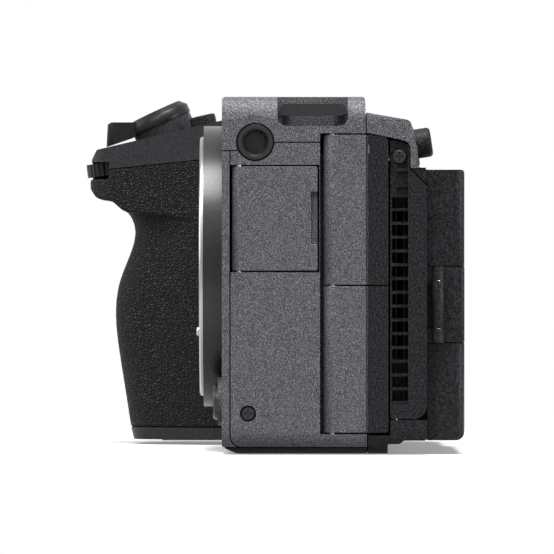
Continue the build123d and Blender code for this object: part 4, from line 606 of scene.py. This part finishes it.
DOT_SIDE = 21.3
DOT_BACK = 0.85
DOT_PROFILE = ((0.75, -0.3), (0.75, 0.06), (0.6, 0.14), (0, 0.16))
bm = bmesh.new()
place = aim((-DOT_SIDE, FLANGE_Y + DOT_BACK, MOUNT_Z + DOT_SIDE), (0, -1, 0))
lathe(bm, place, DOT_PROFILE, steps=24)
add_piece("index_dot", bm, FINISHES["button_red"], "chassis")


# Stage, lamps and camera


FLOOR_REACH = 6.0
FLOOR_DROP = 0.0002
FLOOR_DARK = (0.04, 0.04, 0.04, 1.0)
FLOOR_PALE = (0.85, 0.85, 0.85, 1.0)
WHITE = (1.0, 1.0, 1.0, 1.0)
SHADOW_NEAR = 0.06
SHADOW_FAR = 0.3
GLOW_NEAR = 0.25
DIM_WORLD = 0.26


def shown_rays(tree):
    """1 for camera, glossy and transmission rays, which all show the white background."""
    path = add_node(tree, "ShaderNodeLightPath")
    value = path.outputs["Is Camera Ray"]
    for ray in ("Is Glossy Ray", "Is Transmission Ray"):
        inputs = {0: value, 1: path.outputs[ray]}
        value = add_node(tree, "ShaderNodeMath", inputs, operation="MAXIMUM").outputs[0]
    return value


def blend(tree, factor, first, second):
    """Shader that goes from the first to the second with factor."""
    return add_node(tree, "ShaderNodeMixShader", {0: factor, 1: first.outputs[0], 2: second.outputs[0]})


def show_floor():
    """Floor that shows white and keeps the part's shadow near it; other rays meet a dark one."""
    signs = ((-1, -1), (1, -1), (1, 1), (-1, 1))
    corners = [(x * FLOOR_REACH, y * FLOOR_REACH, -FLOOR_DROP) for x, y in signs]
    mesh = bpy.data.meshes.new("floor")
    mesh.from_pydata(corners, [], [(0, 1, 2, 3)])
    floor = bpy.data.objects.new("floor", mesh)
    bpy.context.scene.collection.objects.link(floor)
    material = bpy.data.materials.new("floor")
    material.use_nodes = True
    tree = material.node_tree
    tree.nodes.clear()
    spot = add_node(tree, "ShaderNodeTexCoord").outputs["Object"]
    away = add_node(tree, "ShaderNodeVectorMath", {0: spot}, operation="LENGTH").outputs["Value"]
    reach = {"From Min": SHADOW_NEAR, "From Max": SHADOW_FAR, "To Min": GLOW_NEAR, "To Max": 1.0}
    fade = add_node(tree, "ShaderNodeMapRange", {"Value": away, **reach}, interpolation_type="SMOOTHSTEP")
    dark = add_node(tree, "ShaderNodeBsdfDiffuse", {"Color": FLOOR_DARK})
    pale = add_node(tree, "ShaderNodeBsdfDiffuse", {"Color": FLOOR_PALE})
    glow = add_node(tree, "ShaderNodeEmission", {"Strength": 1.0})
    mixed = blend(tree, shown_rays(tree), dark, blend(tree, fade.outputs["Result"], pale, glow))
    add_node(tree, "ShaderNodeOutputMaterial", {"Surface": mixed.outputs[0]})
    mesh.materials.append(material)


def show_world():
    """World that shows white and lights the part dimly."""
    world = bpy.data.worlds.new("studio")
    bpy.context.scene.world = world
    world.use_nodes = True
    tree = world.node_tree
    tree.nodes.clear()
    white = add_node(tree, "ShaderNodeBackground", {"Color": WHITE})
    dim = add_node(tree, "ShaderNodeBackground", {"Color": WHITE, "Strength": DIM_WORLD})
    mixed = blend(tree, shown_rays(tree), dim, white)
    add_node(tree, "ShaderNodeOutputWorld", {"Surface": mixed.outputs[0]})


TARGET = Vector((0.0, 0.0, 0.038))


def softbox(name, place, size, power):
    """Square area lamp that faces the part."""
    lamp = bpy.data.lights.new(name, "AREA")
    lamp.shape = "SQUARE"
    lamp.size = size
    lamp.energy = power
    made = bpy.data.objects.new(name, lamp)
    made.location = place
    made.rotation_euler = (TARGET - Vector(place)).to_track_quat("-Z", "Y").to_euler()
    bpy.context.scene.collection.objects.link(made)


def photo_camera():
    """Camera at the photograph's place, level and square on to the port side."""
    lens = bpy.data.cameras.new("photo_camera")
    lens.sensor_fit = "HORIZONTAL"
    lens.sensor_width = SENSOR_WIDTH
    lens.lens = FOCAL_PIXELS / IMAGE_SIZE * SENSOR_WIDTH
    lens.clip_start = CLIP_NEAR
    lens.clip_end = CLIP_FAR
    made = bpy.data.objects.new("photo_camera", lens)
    made.location = (EYE_X, EYE_Y, EYE_Z)
    made.rotation_euler = (math.radians(90), 0.0, math.radians(90))
    bpy.context.scene.collection.objects.link(made)
    bpy.context.scene.camera = made


show_floor()
show_world()
softbox("overhead", (0.3, 0.05, 1.1), 0.6, 27.0)
softbox("camera_side", (1.3, -0.8, 1.2), 1.0, 24.0)
softbox("rear_side", (0.55, 1.2, 0.2), 0.35, 13.0)
softbox("front_side", (-0.2, -1.5, 0.5), 0.8, 7.0)
photo_camera()
bpy.context.scene.view_settings.view_transform = "Standard"
